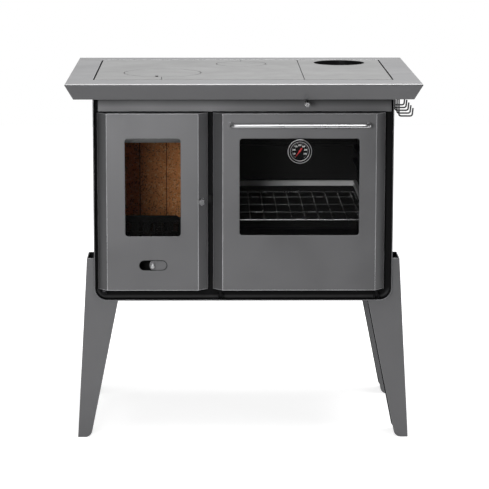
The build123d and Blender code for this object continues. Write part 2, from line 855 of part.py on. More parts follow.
# ---------------------------------------------------------------- doors
def bevel_wall():
    """Width of the bevel's sheet, measured across the door."""
    return sheet * math.hypot(door_bevel, door_depth) / door_depth


def door_skin(x0, x1):
    """Folded skin: flat face, bevelled sides, flanges at the top and bottom, open at the back."""
    outer = Polyline((x0, door_back), (x0 + door_bevel, door_face),
                     (x1 - door_bevel, door_face), (x1, door_back), close=True)
    skin = top_prism(make_face(outer), door_bottom, door_top)
    return skin - door_cavity(x0, x1, 0)


def door_cavity(x0, x1, inset):
    """The space inside a door skin, drawn in by an inset."""
    run = door_bevel / door_depth
    wall = bevel_wall() + inset * math.hypot(1, run)
    y0 = door_face + sheet + inset
    front_x = wall + door_bevel - run * (sheet + inset)
    inner = Polyline((x0 + wall, door_back), (x0 + front_x, y0),
                     (x1 - front_x, y0), (x1 - wall, door_back), close=True)
    return top_prism(make_face(inner), door_bottom + sheet + inset, door_top - sheet - inset)


def door_frame(x0, x1, mouth):
    """Plate ring that closes the back of a skin, with the two lips that hold the rope seal."""
    left, right, low, high = mouth
    run = door_bevel / door_depth
    side = bevel_wall() + run * sheet + fit_gap / 2
    edge = sheet + fit_gap / 2
    plate = area(x0 + side, x1 - side, door_bottom + edge, door_top - edge)
    ring = front_prism(plate - area(left, right, low, high), door_back - sheet, door_back)
    inner = seal_inset - seal_lip - fit_gap
    outer = seal_inset + seal_width + fit_gap
    for offset in (inner, outer):
        wide = offset + seal_lip
        lip = area(left - wide, right + wide, low - wide, high + wide, wide)
        lip -= area(left - offset, right + offset, low - offset, high + offset, offset)
        ring += front_prism(lip, door_back, door_back + seal_lip_height)
    return ring


def door_seal(mouth):
    """Rope seal that lies between the lips and meets the front plate."""
    left, right, low, high = mouth
    inner = seal_inset
    outer = seal_inset + seal_width
    ring = area(left - outer, right + outer, low - outer, high + outer, outer)
    ring -= area(left - inner, right + inner, low - inner, high + inner, inner)
    rope = front_prism(ring, door_back, plate_front - fit_gap)
    return fillet(rope.edges().group_by(Axis.Y)[-1], seal_round)


def window_area(x0, x1, rise, drop, grow, radius):
    """Front view of a door window, grown by an offset."""
    return area(x0 - grow, x1 + grow, door_bottom + rise - grow, door_top - drop + grow, radius)


def glass_frame(window):
    """Folded ring that clamps a pane against the back of the skin."""
    wall = glass_margin + fit_gap
    outside = wall + glass_frame_sheet
    flange = outside + glass_frame_lip
    back = glass_back + fit_gap
    ring = window(outside) - window(wall)
    frame = front_prism(ring, skin_back, back)
    frame += front_prism(window(flange) - window(wall), skin_back, skin_back + glass_frame_sheet)
    lip = window(outside) - window(glass_margin - glass_frame_lip)
    return frame + front_prism(lip, back, back + glass_frame_sheet)


def fire_mouth():
    return fire_mouth_left, fire_mouth_right, fire_mouth_bottom, fire_mouth_top


def oven_mouth():
    return oven_in_left, oven_in_right, oven_in_bottom, oven_in_top


def fire_window(grow, radius=window_r):
    x0 = fire_door_left + fire_window_left
    return window_area(x0, x0 + fire_window_width, fire_window_rise, fire_window_drop, grow, radius)


def oven_window(grow, radius=window_r):
    return window_area(oven_door_left + oven_window_left, oven_door_right - oven_window_right,
                       oven_window_rise, oven_window_drop, grow, radius)


# ---------------------------------------------------------------- firebox door
def pin_hole(radius, z0, z1):
    """Upright cylinder on the firebox door's hinge axis."""
    return rod_between((fire_hinge_x, fire_hinge_y, z0), (fire_hinge_x, fire_hinge_y, z1), radius)


def fire_door_skin():
    skin = door_skin(fire_door_left, fire_door_right)
    skin -= front_prism(fire_window(0), door_face, skin_back)
    slot = Pos(slot_x, slot_z) * SlotOverall(slot_length, slot_height)
    skin -= front_prism(slot, door_face, skin_back)
    skin -= pin_hole(hinge_pin_r + fit_gap, door_bottom, door_bottom + sheet)
    skin -= pin_hole(hinge_pin_r + fit_gap, door_top - sheet, door_top)
    return skin - rod_between((latch_x, door_face, latch_z), (latch_x, door_back, latch_z),
                              latch_shaft_r + fit_gap)


def fire_door_frame():
    frame = door_frame(fire_door_left, fire_door_right, fire_mouth())
    return frame - rod_between((latch_x, door_face, latch_z), (latch_x, door_back, latch_z),
                               latch_shaft_r + fit_gap)


def fire_glass():
    return front_prism(fire_window(glass_margin), glass_front, glass_back)


def fire_glass_frame():
    return glass_frame(fire_window)


def air_deflector():
    """Polished strip behind the top of the pane that turns the air down the glass."""
    x0 = fire_door_left + fire_window_left - glass_frame_lip
    x1 = x0 + fire_window_width + 2 * glass_frame_lip
    y0 = glass_back + fit_gap + glass_frame_sheet
    z0 = door_top - fire_window_drop + glass_frame_lip
    t = deflector_sheet
    low_y = y0 + door_depth / 2
    low_z = z0 - deflector_drop
    bent_z = z0 - glass_frame_lip
    outline = Polyline((y0, z0 + glass_frame_lip), (y0 + t, z0 + glass_frame_lip),
                       (y0 + t, bent_z), (low_y + t, low_z), (low_y, low_z), (y0, bent_z), close=True)
    return side_prism(make_face(outline), x0, x1)


def fire_hinge_pins():
    """Upper and lower hinge pins, each standing in a block inside the door's corner."""
    cavity = door_cavity(fire_door_left, fire_door_right, fit_gap)
    back = door_back - sheet - fit_gap
    x1 = fire_door_left + hinge_block_width
    low_z = door_bottom + sheet
    high_z = door_top - sheet
    low = cavity & block(fire_door_left, x1, door_face, back, low_z, low_z + hinge_block_height)
    low += pin_hole(hinge_pin_r, door_bottom - hinge_drop - hinge_bracket_sheet, low_z + hinge_block_height)
    low += pin_hole(2 * hinge_pin_r, door_bottom - hinge_drop + fit_gap, door_bottom - fit_gap)
    high = cavity & block(fire_door_left, x1, door_face, back, high_z - hinge_block_height, high_z)
    high += pin_hole(hinge_pin_r, high_z - hinge_block_height, strip_bottom)
    return Compound(children=[low, high])


def fire_hinge_brackets():
    """Lower bracket and upper tab that the pins turn in, fixed to the front plate."""
    x0 = fire_hinge_x - hinge_bracket_half
    x1 = fire_hinge_x + hinge_bracket_half
    y0 = fire_hinge_y - hinge_bracket_half
    low_z = door_bottom - hinge_drop
    low = block(x0, x1, y0, plate_front, low_z - hinge_bracket_sheet, low_z)
    high = block(x0, x1, y0, plate_front, strip_bottom - hinge_tab_sheet, strip_bottom)
    bore = pin_hole(hinge_pin_r + pin_gap, low_z - hinge_bracket_sheet, strip_bottom)
    return Compound(children=[low - bore, high - bore])


def latch_knob():
    """Lobed knob in front of the door."""
    y0 = door_face - latch_knob_reach
    y1 = y0 + latch_knob_length
    face = Pos(latch_x, latch_z) * lobed_face(latch_knob_r, latch_lobes, latch_lobe_r, 180 / latch_lobes)
    knob = front_prism(face, y0, y1)
    socket_start = y0 + latch_knob_length / 2
    return knob - rod_between((latch_x, socket_start, latch_z), (latch_x, y1, latch_z),
                              latch_shaft_r + pin_gap)


def cam_front():
    """Front of the cam, behind the lip of the keeper."""
    return door_back + fit_gap + keeper_lip + 2 * fit_gap


def latch_shaft():
    """Shaft through the door with a cam at its inner end, which hangs down while unlatched."""
    y0 = door_face - latch_knob_reach + latch_knob_length / 2
    y1 = cam_front() + cam_thickness
    shaft = rod_between((latch_x, y0, latch_z), (latch_x, y1, latch_z), latch_shaft_r)
    cam = area(latch_x - cam_half, latch_x + cam_half, latch_z - cam_reach, latch_z)
    cam += Pos(latch_x, latch_z) * Circle(cam_half)
    return shaft + front_prism(cam, cam_front(), y1)


def latch_keeper():
    """Hooked keeper on the front plate, in the gap between the doors."""
    x1 = oven_door_left - 3.0
    x0 = fire_door_right + 2.5
    lip_left = latch_x + cam_half + 1.5
    y0 = door_back + fit_gap
    z0 = latch_z - keeper_height / 2
    z1 = latch_z + keeper_height / 2
    return block(x0, x1, y0, plate_front, z0, z1) + block(lip_left, x1, y0, y0 + keeper_lip, z0, z1)


def shutter_centre_x():
    return slot_x - slot_length / 2 + shutter_left + shutter_length / 2


def shutter_plate():
    """Sliding plate behind the air slot."""
    face = Pos(shutter_centre_x(), slot_z) * SlotOverall(shutter_length, shutter_height)
    return front_prism(face, skin_back + fit_gap, skin_back + fit_gap + shutter_thickness)


def shutter_pin():
    """Pin with a rounded head that moves the shutter."""
    x = slot_x - slot_length / 2 + shutter_left + shutter_pin_from_end
    start = (x, door_face - shutter_pin_reach, slot_z)
    pin = rod_between(start, (x, skin_back + fit_gap, slot_z), shutter_pin_r)
    return fillet(pin.edges().group_by(Axis.Y)[0], shutter_pin_r / 3)


def shutter_guides():
    """Two angles inside the door that the shutter runs in."""
    x0 = shutter_centre_x() - guide_length / 2
    x1 = x0 + guide_length
    inner = shutter_height / 2 + fit_gap
    back = skin_back + 2 * fit_gap + shutter_thickness
    guides = []
    for side in (-1, 1):
        spans = sorted((slot_z + side * inner, slot_z + side * (inner + guide_overlap)))
        laps = sorted((slot_z + side * (inner - guide_overlap), slot_z + side * (inner + guide_overlap)))
        web = block(x0, x1, skin_back, back, spans[0], spans[1])
        guides.append(web + block(x0, x1, back, back + guide_sheet, laps[0], laps[1]))
    return Compound(children=guides)


# ---------------------------------------------------------------- oven door
def gauge_hole(radius, y0, y1):
    """Cylinder on the thermometer's axis."""
    return rod_between((gauge_x, y0, gauge_z), (gauge_x, y1, gauge_z), radius)


def oven_door_skin():
    skin = door_skin(oven_door_left, oven_door_right)
    return skin - front_prism(oven_window(0), door_face, skin_back)


def oven_door_frame():
    return door_frame(oven_door_left, oven_door_right, oven_mouth())


def oven_glass():
    pane = front_prism(oven_window(glass_margin), glass_front, glass_back)
    return pane - gauge_hole(gauge_stem_r + fit_gap, glass_front, glass_back)


def oven_glass_frame():
    return glass_frame(oven_window)


def oven_handle():
    """Bent round bar that runs across the top of the oven door."""
    x0 = oven_door_left + handle_left
    x1 = oven_door_right - handle_right
    y1 = door_face
    y0 = door_face - handle_reach
    z = door_top - handle_drop
    path = FilletPolyline((x0, y1, z), (x0, y0, z), (x1, y0, z), (x1, y1, z), radius=handle_bend_r)
    section = Plane(origin=path @ 0, z_dir=path % 0) * Circle(handle_r)
    return sweep(section, path=path)


def oven_arm_starts():
    return [oven_door_left + oven_arm_inset_left,
            oven_door_right - oven_arm_inset_right]


def oven_hinge_arms():
    """Two arms on the back of the door frame, each with an eye and a pin below the door."""
    arms = []
    for x0 in oven_arm_starts():
        x1 = x0 + oven_arm_width
        side = area(door_back, door_back + oven_arm_depth, oven_hinge_z, door_bottom + oven_arm_rise)
        side += Pos(oven_hinge_y, oven_hinge_z) * Circle(oven_eye_r)
        arm = side_prism(side, x0, x1)
        reach = lug_gap + lug_width
        arms.append(arm + rod_between((x0 - reach, oven_hinge_y, oven_hinge_z),
                                      (x1 + reach, oven_hinge_y, oven_hinge_z), hinge_pin_r))
    return Compound(children=arms)


def oven_hinge_lugs():
    """Pairs of lugs on the ledge under the doors that carry the oven door's pins."""
    lugs = []
    for x0 in oven_arm_starts():
        x1 = x0 + oven_arm_width
        for left in (x0 - lug_gap - lug_width, x1 + lug_gap):
            side = area(oven_hinge_y - oven_eye_r, plate_front, ledge_z, oven_hinge_z)
            side += Pos(oven_hinge_y, oven_hinge_z) * Circle(oven_eye_r)
            side -= Pos(oven_hinge_y, oven_hinge_z) * Circle(hinge_pin_r + pin_gap)
            lugs.append(side_prism(side, left, left + lug_width))
    return Compound(children=lugs)


def gauge_back():
    """Back of the thermometer case, just in front of the pane."""
    return glass_front - fit_gap


def gauge_case():
    """Round cup with the stem that goes through the pane and its nut behind it."""
    y1 = gauge_back()
    y0 = y1 - gauge_case_depth
    cup = gauge_hole(gauge_case_r, y0, y1)
    cup -= gauge_hole(gauge_case_r - gauge_case_wall, y0, y1 - gauge_case_wall)
    stem = gauge_hole(gauge_stem_r, y1 - gauge_case_wall, y1 + gauge_stem_length)
    nut_y = glass_back + fit_gap
    hexagon = Pos(gauge_x, gauge_z) * RegularPolygon(2 * gauge_stem_r, 6)
    nut = front_prism(hexagon, nut_y, nut_y + gauge_stem_r)
    return cup + stem + nut


def gauge_bezel():
    """Ring round the front of the case, with a groove turned in its face."""
    y1 = gauge_back() - gauge_case_depth + gauge_bezel_depth / 2
    y0 = y1 - gauge_bezel_depth
    ring = gauge_hole(gauge_r, y0, y1) - gauge_hole(gauge_r - gauge_bezel_width, y0, y1)
    ring -= gauge_hole(gauge_case_r + fit_gap, y0 + gauge_bezel_depth / 2, y1)
    groove = gauge_hole(gauge_groove_r + gauge_groove_width / 2, y0, y0 + gauge_groove_depth)
    groove -= gauge_hole(gauge_groove_r - gauge_groove_width / 2, y0, y0 + gauge_groove_depth)
    ring -= groove
    return fillet(ring.edges().group_by(Axis.Y)[0], gauge_bezel_round)


def gauge_dial_front():
    return gauge_back() - gauge_case_wall - gauge_dial_back


def gauge_dial():
    """Dial plate on a short post inside the case."""
    y0 = gauge_dial_front()
    plate = gauge_hole(gauge_case_r - gauge_case_wall - fit_gap, y0, y0 + gauge_case_wall)
    return plate + gauge_hole(2 * gauge_stem_r, y0 + gauge_case_wall, gauge_back() - gauge_case_wall)


def gauge_needle():
    """Long thin pointer with a broad tail, at the cold end of the scale."""
    y1 = gauge_dial_front() - fit_gap
    blade = Polyline((-needle_tail_width / 2, -needle_tail), (needle_tail_width / 2, -needle_tail),
                     (needle_sheet / 2, needle_long), (-needle_sheet / 2, needle_long), close=True)
    face = make_face(blade) + Circle(needle_hub_r)
    turned = Pos(gauge_x, gauge_z) * Rot(0, 0, -needle_angle) * face
    return front_prism(turned, y1 - needle_sheet, y1)


def gauge_lens():
    y1 = gauge_back() - gauge_case_depth - fit_gap
    radius = gauge_r - gauge_bezel_width - fit_gap
    return gauge_hole(radius, y1 - gauge_lens_sheet, y1)


# ---------------------------------------------------------------- legs
def leg_outline():
    """Front view of a right-hand leg, notched to fit round the casing."""
    foot_out = casing_half + leg_foot_out
    inner = casing_half - leg_inner
    top = casing_bottom + leg_rise
    face = make_face(Polyline((casing_half + leg_top_out, top), (foot_out, 0),
                              (foot_out - leg_foot_width, 0), (inner, casing_bottom),
                              (inner, top), close=True))
    toe = face.vertices().group_by(Axis.Y)[0].sort_by(Axis.X)[0]
    return fillet(toe, leg_foot_r) - casing_outline(fit_gap)


def right_leg(y0):
    """Channel of bent sheet, open at the top and on the inner side, with a foot and a bolt flange."""
    y1 = y0 + leg_depth
    outline = leg_outline()
    lean = (leg_foot_out - leg_top_out) / (casing_bottom + leg_rise)
    wall = sheet * math.hypot(1, lean)
    leg = front_prism(outline, y0, y1)
    cut = front_prism(Pos(-wall, 0) * outline, y0 + sheet, y1 - sheet)
    cut -= block(0, width, y0, y1, 0, leg_foot_sheet)
    leg -= cut
    flange_top = casing_bottom - fit_gap
    flange = block(casing_half - leg_flange_in, casing_half - leg_flange_out,
                   y0 + sheet, y1 - sheet, flange_top - sheet, flange_top)
    x = casing_half - (leg_flange_in + leg_flange_out) / 2
    for y in bolt_spots(y0):
        flange -= Pos(x, y, flange_top - sheet / 2) * Cylinder(bolt_r + bolt_gap, 2 * sheet)
    return leg + flange


def leg(side, y0):
    """Right leg, or its mirror image on the left."""
    if side > 0:
        return right_leg(y0)
    return mirror(right_leg(y0), Plane.YZ)


def leg_bolts():
    """Hexagon bolts that hold the leg flanges to the casing bottom."""
    head_top = casing_bottom - fit_gap - sheet
    bolts = []
    for x, y in bolt_centres():
        head = Pos(x, y) * RegularPolygon(bolt_head_r, 6)
        bolt = top_prism(head, head_top - bolt_head_height, head_top)
        bolts.append(bolt + rod_between((x, y, head_top), (x, y, ledge_z + bolt_r), bolt_r))
    return Compound(children=bolts)


# ---------------------------------------------------------------- hooks
def rail_top():
    return soffit_z - rail_top_gap


def hook_rail():
    """Folded rail on the casing side that the hooks are welded to."""
    y0 = front + hook_setback - rail_overhang
    y1 = front + hook_setback + (hook_count - 1) * hook_spacing + rail_overhang
    x1 = casing_half + rail_width
    z0 = rail_top() - rail_height
    rail = block(casing_half, x1, y0, y1, z0, rail_top())
    return rail - block(casing_half + rail_sheet, x1 - rail_sheet, y0, y1, z0, rail_top() - rail_sheet)


def hook(y):
    """J-shaped wire hook, its outer leg leaning out a little."""
    x0 = casing_half + rail_width + hook_wire_r
    x1 = casing_half + hook_reach - hook_wire_r - hook_lean
    low = soffit_z - hook_bottom_drop
    path = FilletPolyline((x0, y, rail_top() - rail_sheet), (x0, y, low), (x1, y, low),
                          (x1 + hook_lean, y, soffit_z - hook_tip_drop), radius=hook_bend_r)
    section = Plane(origin=path @ 0, z_dir=path % 0) * Circle(hook_wire_r)
    return sweep(section, path=path)


def hooks():
    first = front + hook_setback
    return Compound(children=[hook(first + index * hook_spacing) for index in range(hook_count)])


# ---------------------------------------------------------------- all pieces
pieces = {
    "top_frame": top_frame,
    "hob_support": hob_support,
    "hob_plate": hob_plate,
    "front_lid": front_lid,
    "rear_lid": rear_lid,
    "flue_plate": flue_plate,
    "flue_collar": flue_collar,
    "casing": casing,
    "rear_panel": rear_panel,
    "front_strip": front_strip,
    "front_plate": front_plate,
    "firebox_shell": fire_shell,
    "back_boards": back_boards,
    "side_boards": side_boards,
    "grate_frame": grate_frame,
    "grate": grate,
    "log_retainer": log_retainer,
    "ash_pan": ash_pan,
    "oven_box": oven_box,
    "oven_runners": oven_runners,
    "oven_stops": oven_stops,
    "oven_rack": oven_rack,
    "smoke_box": smoke_box,
    "damper_plate": damper_plate,
    "damper_rod": damper_rod,
    "damper_knob": damper_knob,
    "firebox_door_skin": fire_door_skin,
    "firebox_door_frame": fire_door_frame,
    "firebox_seal": lambda: door_seal(fire_mouth()),
    "firebox_glass": fire_glass,
    "firebox_glass_frame": fire_glass_frame,
    "air_deflector": air_deflector,
    "firebox_hinge_pins": fire_hinge_pins,
    "firebox_hinge_brackets": fire_hinge_brackets,
    "latch_knob": latch_knob,
    "latch_shaft": latch_shaft,
    "latch_keeper": latch_keeper,
    "shutter_plate": shutter_plate,
    "shutter_pin": shutter_pin,
    "shutter_guides": shutter_guides,
    "oven_door_skin": oven_door_skin,
    "oven_door_frame": oven_door_frame,
    "oven_seal": lambda: door_seal(oven_mouth()),
    "oven_glass": oven_glass,
    "oven_glass_frame": oven_glass_frame,
    "oven_handle": oven_handle,
    "oven_hinge_arms": oven_hinge_arms,
    "oven_hinge_lugs": oven_hinge_lugs,
    "thermometer_case": gauge_case,
    "thermometer_bezel": gauge_bezel,
    "thermometer_dial": gauge_dial,
    "thermometer_needle": gauge_needle,
    "thermometer_lens": gauge_lens,
    "leg_front_left": lambda: leg(-1, leg_fronts()[0]),
    "leg_front_right": lambda: leg(1, leg_fronts()[0]),
    "leg_rear_left": lambda: leg(-1, leg_fronts()[1]),
    "leg_rear_right": lambda: leg(1, leg_fronts()[1]),
    "leg_bolts": leg_bolts,
    "hook_rail": hook_rail,
    "hooks": hooks,
}

for name, make in pieces.items():
    export_step(make(), f"parts/{name}.step")
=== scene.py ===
import math

import bmesh
import bpy
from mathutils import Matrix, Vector


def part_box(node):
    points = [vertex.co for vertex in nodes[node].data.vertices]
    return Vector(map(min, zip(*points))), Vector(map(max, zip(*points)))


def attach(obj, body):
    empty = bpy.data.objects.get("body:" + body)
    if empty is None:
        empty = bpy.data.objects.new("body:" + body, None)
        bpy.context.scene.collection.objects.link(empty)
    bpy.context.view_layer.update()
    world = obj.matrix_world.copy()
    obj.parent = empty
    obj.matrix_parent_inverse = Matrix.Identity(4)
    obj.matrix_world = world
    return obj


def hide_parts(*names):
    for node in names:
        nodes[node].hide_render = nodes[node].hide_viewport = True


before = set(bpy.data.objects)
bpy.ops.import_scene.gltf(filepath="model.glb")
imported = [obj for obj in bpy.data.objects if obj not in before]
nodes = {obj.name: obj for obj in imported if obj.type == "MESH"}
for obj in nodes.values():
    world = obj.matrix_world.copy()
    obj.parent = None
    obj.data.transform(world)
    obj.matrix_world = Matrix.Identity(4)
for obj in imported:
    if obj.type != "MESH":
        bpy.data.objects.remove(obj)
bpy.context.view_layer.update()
scene = bpy.context.scene


# ---------------------------------------------------------------- colours and measures of the finishes
GREY = (0.160, 0.160, 0.165)
HOB_GREY = (0.142, 0.142, 0.142)
BLACK = (0.011, 0.011, 0.0115)
ENAMEL_BLACK = (0.009, 0.009, 0.0095)
# colour of the painted highlight along the worktop's front edge
FRONT_HIGHLIGHT_GREY = (0.42, 0.42, 0.42)
SILL_HIGHLIGHT_GREY = (0.060, 0.060, 0.061)
PAINT_GLOSS = 0.55
PAINT_ROUGH = 0.42
GLASS_ROUGH = 0.02
GLASS_IOR = 1.15
PATCH_SCALE = 9.0                # soft patches of tone on the coats
FLAKE_SCALE = 360.0              # flakes and chips of the pressed board
CHIP_SCALE = 340.0

CASING_CORNER_R = 0.032
DOOR_BEVEL = 0.024
DOOR_HIGHLIGHT_REACH = 0.005                 # how far in from a door's bends and ends the painted highlight reaches
HIGHLIGHT_FADE = 0.001
SILL_OUTSIDE = (0.0030, 0.0060)  # where the lighter band of painted light along the front plate fades in
SILL_INSIDE = (0.0085, 0.0130)   # and out again
SILL_RISE = 0.016
BEZEL_INNER_R = 0.0230
BEZEL_LIP = (0.0010, 0.0014)     # from the ring's inner edge, where its bright lip fades out
BEZEL_RIM = (0.0017, 0.0012)     # from its outer edge, where its bright rim fades in
STRIP_SHADE = (-0.026, -0.003)   # heights from the strip's top between which it darkens upwards, a painted shadow under the worktop's overhang
FRONT_HIGHLIGHT_REACH = (0.0028, 0.0011)      # reach of the painted highlight along the worktop's front edge, back and down
BAND_TOP = 0.600                 # the lit ledge in the oven is painted pale, as painted light, up to this height
BAND_FADE = 0.001

casing_low, casing_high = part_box("casing")
worktop_low, worktop_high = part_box("top_frame")
strip_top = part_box("front_strip")[1].z
strip_shade = [strip_top + height for height in STRIP_SHADE]
bezel_low, bezel_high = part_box("thermometer_bezel")


def middle_of(node):
    low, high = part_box(node)
    return (low + high) / 2


# ---------------------------------------------------------------- materials
class Nodes:
    """Short calls for building a node tree."""

    def __init__(self, tree):
        self.tree = tree

    def add(self, kind, **values):
        node = self.tree.nodes.new(kind)
        for key, value in values.items():
            setattr(node, key, value)
        return node

    def link(self, out, into):
        self.tree.links.new(out, into)

    def span(self, value, low, high, from_low=0.3, from_high=0.7, kind="LINEAR"):
        """The value, taken from one range to another."""
        node = self.add("ShaderNodeMapRange", interpolation_type=kind)
        node.inputs["From Min"].default_value = from_low
        node.inputs["From Max"].default_value = from_high
        node.inputs["To Min"].default_value = low
        node.inputs["To Max"].default_value = high
        self.link(value, node.inputs["Value"])
        return node.outputs["Result"]

    def math(self, operation, first, second=0.0):
        node = self.add("ShaderNodeMath", operation=operation)
        for value, socket in ((first, node.inputs[0]), (second, node.inputs[1])):
            if isinstance(value, float):
                socket.default_value = value
            else:
                self.link(value, socket)
        return node.outputs[0]


class Graph(Nodes):
    """Short calls for building one material."""

    def __init__(self, name):
        self.material = bpy.data.materials.new(name)
        self.material.use_nodes = True
        super().__init__(self.material.node_tree)
        self.shader = self.tree.nodes["Principled BSDF"]

    def coords(self, stretch=(1.0, 1.0, 1.0)):
        place = self.add("ShaderNodeTexCoord")
        mapping = self.add("ShaderNodeMapping")
        mapping.inputs["Scale"].default_value = stretch
        self.link(place.outputs["Object"], mapping.inputs["Vector"])
        return mapping.outputs["Vector"]

    def axes(self):
        """The X, Y and Z of the place, in part-frame metres."""
        split = self.add("ShaderNodeSeparateXYZ")
        self.link(self.coords(), split.inputs[0])
        return split.outputs

    def noise(self, vector, scale, detail=4.0, rough=0.55):
        node = self.add("ShaderNodeTexNoise")
        node.inputs["Scale"].default_value = scale
        node.inputs["Detail"].default_value = detail
        node.inputs["Roughness"].default_value = rough
        self.link(vector, node.inputs["Vector"])
        return node.outputs["Fac"]

    def cells(self, vector, scale):
        node = self.add("ShaderNodeTexVoronoi")
        node.inputs["Scale"].default_value = scale
        self.link(vector, node.inputs["Vector"])
        return node.outputs["Color"]

    def ramp(self, value, stops):
        node = self.add("ShaderNodeValToRGB")
        elements = node.color_ramp.elements
        while len(elements) < len(stops):
            elements.new(0.5)
        for element, (place, colour) in zip(elements, stops):
            element.position = place
            element.color = (*colour, 1.0)
        self.link(value, node.inputs["Fac"])
        return node.outputs["Color"]

    def mix(self, factor, low, high):
        node = self.add("ShaderNodeMix", data_type="RGBA")
        for value, socket in ((factor, node.inputs["Factor"]), (low, node.inputs[6]), (high, node.inputs[7])):
            if isinstance(value, tuple):
                socket.default_value = (*value, 1.0)
            elif isinstance(value, float):
                socket.default_value = value
            else:
                self.link(value, socket)
        return node.outputs[2]

    def edges(self, radius, low=0.91, high=0.995):
        """Mask that is high on bends and sharp edges, and the rounded normal there."""
        bevel = self.add("ShaderNodeBevel", samples=6)
        bevel.inputs["Radius"].default_value = radius
        flat = self.add("ShaderNodeNewGeometry")
        dot = self.add("ShaderNodeVectorMath", operation="DOT_PRODUCT")
        self.link(bevel.outputs["Normal"], dot.inputs[0])
        self.link(flat.outputs["Normal"], dot.inputs[1])
        return self.span(dot.outputs["Value"], 1.0, 0.0, low, high), bevel.outputs["Normal"]

    def bump(self, height, depth, normal=None):
        node = self.add("ShaderNodeBump")
        node.inputs["Distance"].default_value = depth
        node.inputs["Strength"].default_value = 1.0
        self.link(height, node.inputs["Height"])
        if normal is not None:
            self.link(normal, node.inputs["Normal"])
        self.link(node.outputs["Normal"], self.shader.inputs["Normal"])


def tone(colour, factor):
    return tuple(min(1.0, channel * factor) for channel in colour)


def coated(name, colour, roughness, metallic=0.0, grain=900.0, depth=0.00002, spread=0.05,
           rough_spread=0.06, wear=0.35, bevel=0.0012, inside=None, sheen=0.5, rubbed=None, shade=None,
           bend=(0.91, 0.995), bare=3.0, patch_stretch=(1.0, 1.0, 1.0), border=None):
    """Painted or unpainted metal: soft patches of tone, fine grain, and edges and bends made a little lighter
    in patches, as a painted highlight.

    Faces that look towards the point inside are painted black. The front edge it is given gets a thin painted
    highlight, and shade is a mask maker with the colour it paints in, for the painted shadow and painted
    light of some pieces. border bounds a door's middle, where no highlight is painted.
    """
    g = Graph(name)
    vector = g.coords()
    patches = g.noise(g.coords(patch_stretch), PATCH_SCALE, 3.0)
    fine = g.noise(vector, grain, 2.0, 0.6)
    body = g.mix(g.span(patches, 0.0, 1.0), tone(colour, 1.0 - spread), tone(colour, 1.0 + spread))
    speck = g.mix(g.span(fine, 0.0, 1.0), tone(colour, 1.0 - spread), tone(colour, 1.0 + spread))
    base = g.mix(0.5, body, speck)
    # painted highlight: edges and bends are lightened in patches, standing in for the light they catch
    edge, rounded = g.edges(bevel, *bend)
    rub = g.math("MULTIPLY", edge, g.span(patches, 0.55 * wear, wear))
    if border is not None:
        rub = g.math("MULTIPLY", rub, border_mask(g, border))
    edge_lightened = g.mix(rub, base, tone(colour, bare))
    g.shader.inputs["Specular IOR Level"].default_value = sheen
    # painted highlight: a thin pale line along the front top edge it is given
    if rubbed is not None:
        line = g.math("MULTIPLY", front_highlight_mask(g, rubbed), g.span(patches, 0.75, 1.0))
        edge_lightened = g.mix(line, edge_lightened, FRONT_HIGHLIGHT_GREY)
    if shade is not None:
        mask, shade_colour = shade
        edge_lightened = g.mix(mask(g), edge_lightened, shade_colour)
    # faces turned towards the point inside are painted black; inside the open legs this is painted shade
    if inside is not None:
        hidden = inside_mask(g, inside)
        edge_lightened = g.mix(hidden, edge_lightened, BLACK)
        g.link(g.span(hidden, sheen, 0.1, 0.0, 1.0), g.shader.inputs["Specular IOR Level"])
    g.link(edge_lightened, g.shader.inputs["Base Color"])
    g.link(g.span(patches, roughness - rough_spread, roughness + rough_spread), g.shader.inputs["Roughness"])
    g.shader.inputs["Metallic"].default_value = metallic
    g.bump(fine, depth, rounded)
    return g.material


def stove_paint(name, **changes):
    """Grey stove paint with a soft metallic gloss."""
    return coated(name, GREY, PAINT_ROUGH, metallic=PAINT_GLOSS, grain=1500.0, depth=0.000012, **changes)


def black_paint(name, **changes):
    """Dull black paint of the pieces inside."""
    return coated(name, BLACK, 0.7, wear=0.1, grain=2500.0, depth=0.000006, **changes)


def hob_iron(name, **changes):
    """Ground cast iron of the cooking surface and the flue collar."""
    return coated(name, HOB_GREY, 0.40, metallic=0.35, grain=1100.0, spread=0.07, wear=0.2,
                  bevel=0.0007, **changes)


def height_mask(low, high):
    """Mask maker: 0 below the first height, 1 above the second, in part-frame metres."""
    def mask(g):
        return g.span(g.axes()["Z"], 0.0, 1.0, low, high)
    return mask


def border_mask(g, border):
    """1 within reach of the upright bends and the top and bottom edges of a door, 0 on its middle."""
    left, right, low, high = border
    place = g.axes()
    sides = g.math("MAXIMUM", g.span(place["X"], 1.0, 0.0, left, left + HIGHLIGHT_FADE),
                   g.span(place["X"], 0.0, 1.0, right - HIGHLIGHT_FADE, right))
    ends = g.math("MAXIMUM", g.span(place["Z"], 1.0, 0.0, low, low + HIGHLIGHT_FADE),
                  g.span(place["Z"], 0.0, 1.0, high - HIGHLIGHT_FADE, high))
    return g.math("MAXIMUM", sides, ends)


def door_paint(node):
    """Stove paint with a painted highlight on the bends and ends of a door skin."""
    low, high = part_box(node)
    reach = DOOR_BEVEL + DOOR_HIGHLIGHT_REACH
    border = (low.x + reach, high.x - reach, low.z + DOOR_HIGHLIGHT_REACH, high.z - DOOR_HIGHLIGHT_REACH)
    return stove_paint(node + "_paint", wear=1.2, bevel=0.0026, bend=(0.965, 0.9992), bare=5.0,
                       border=border)


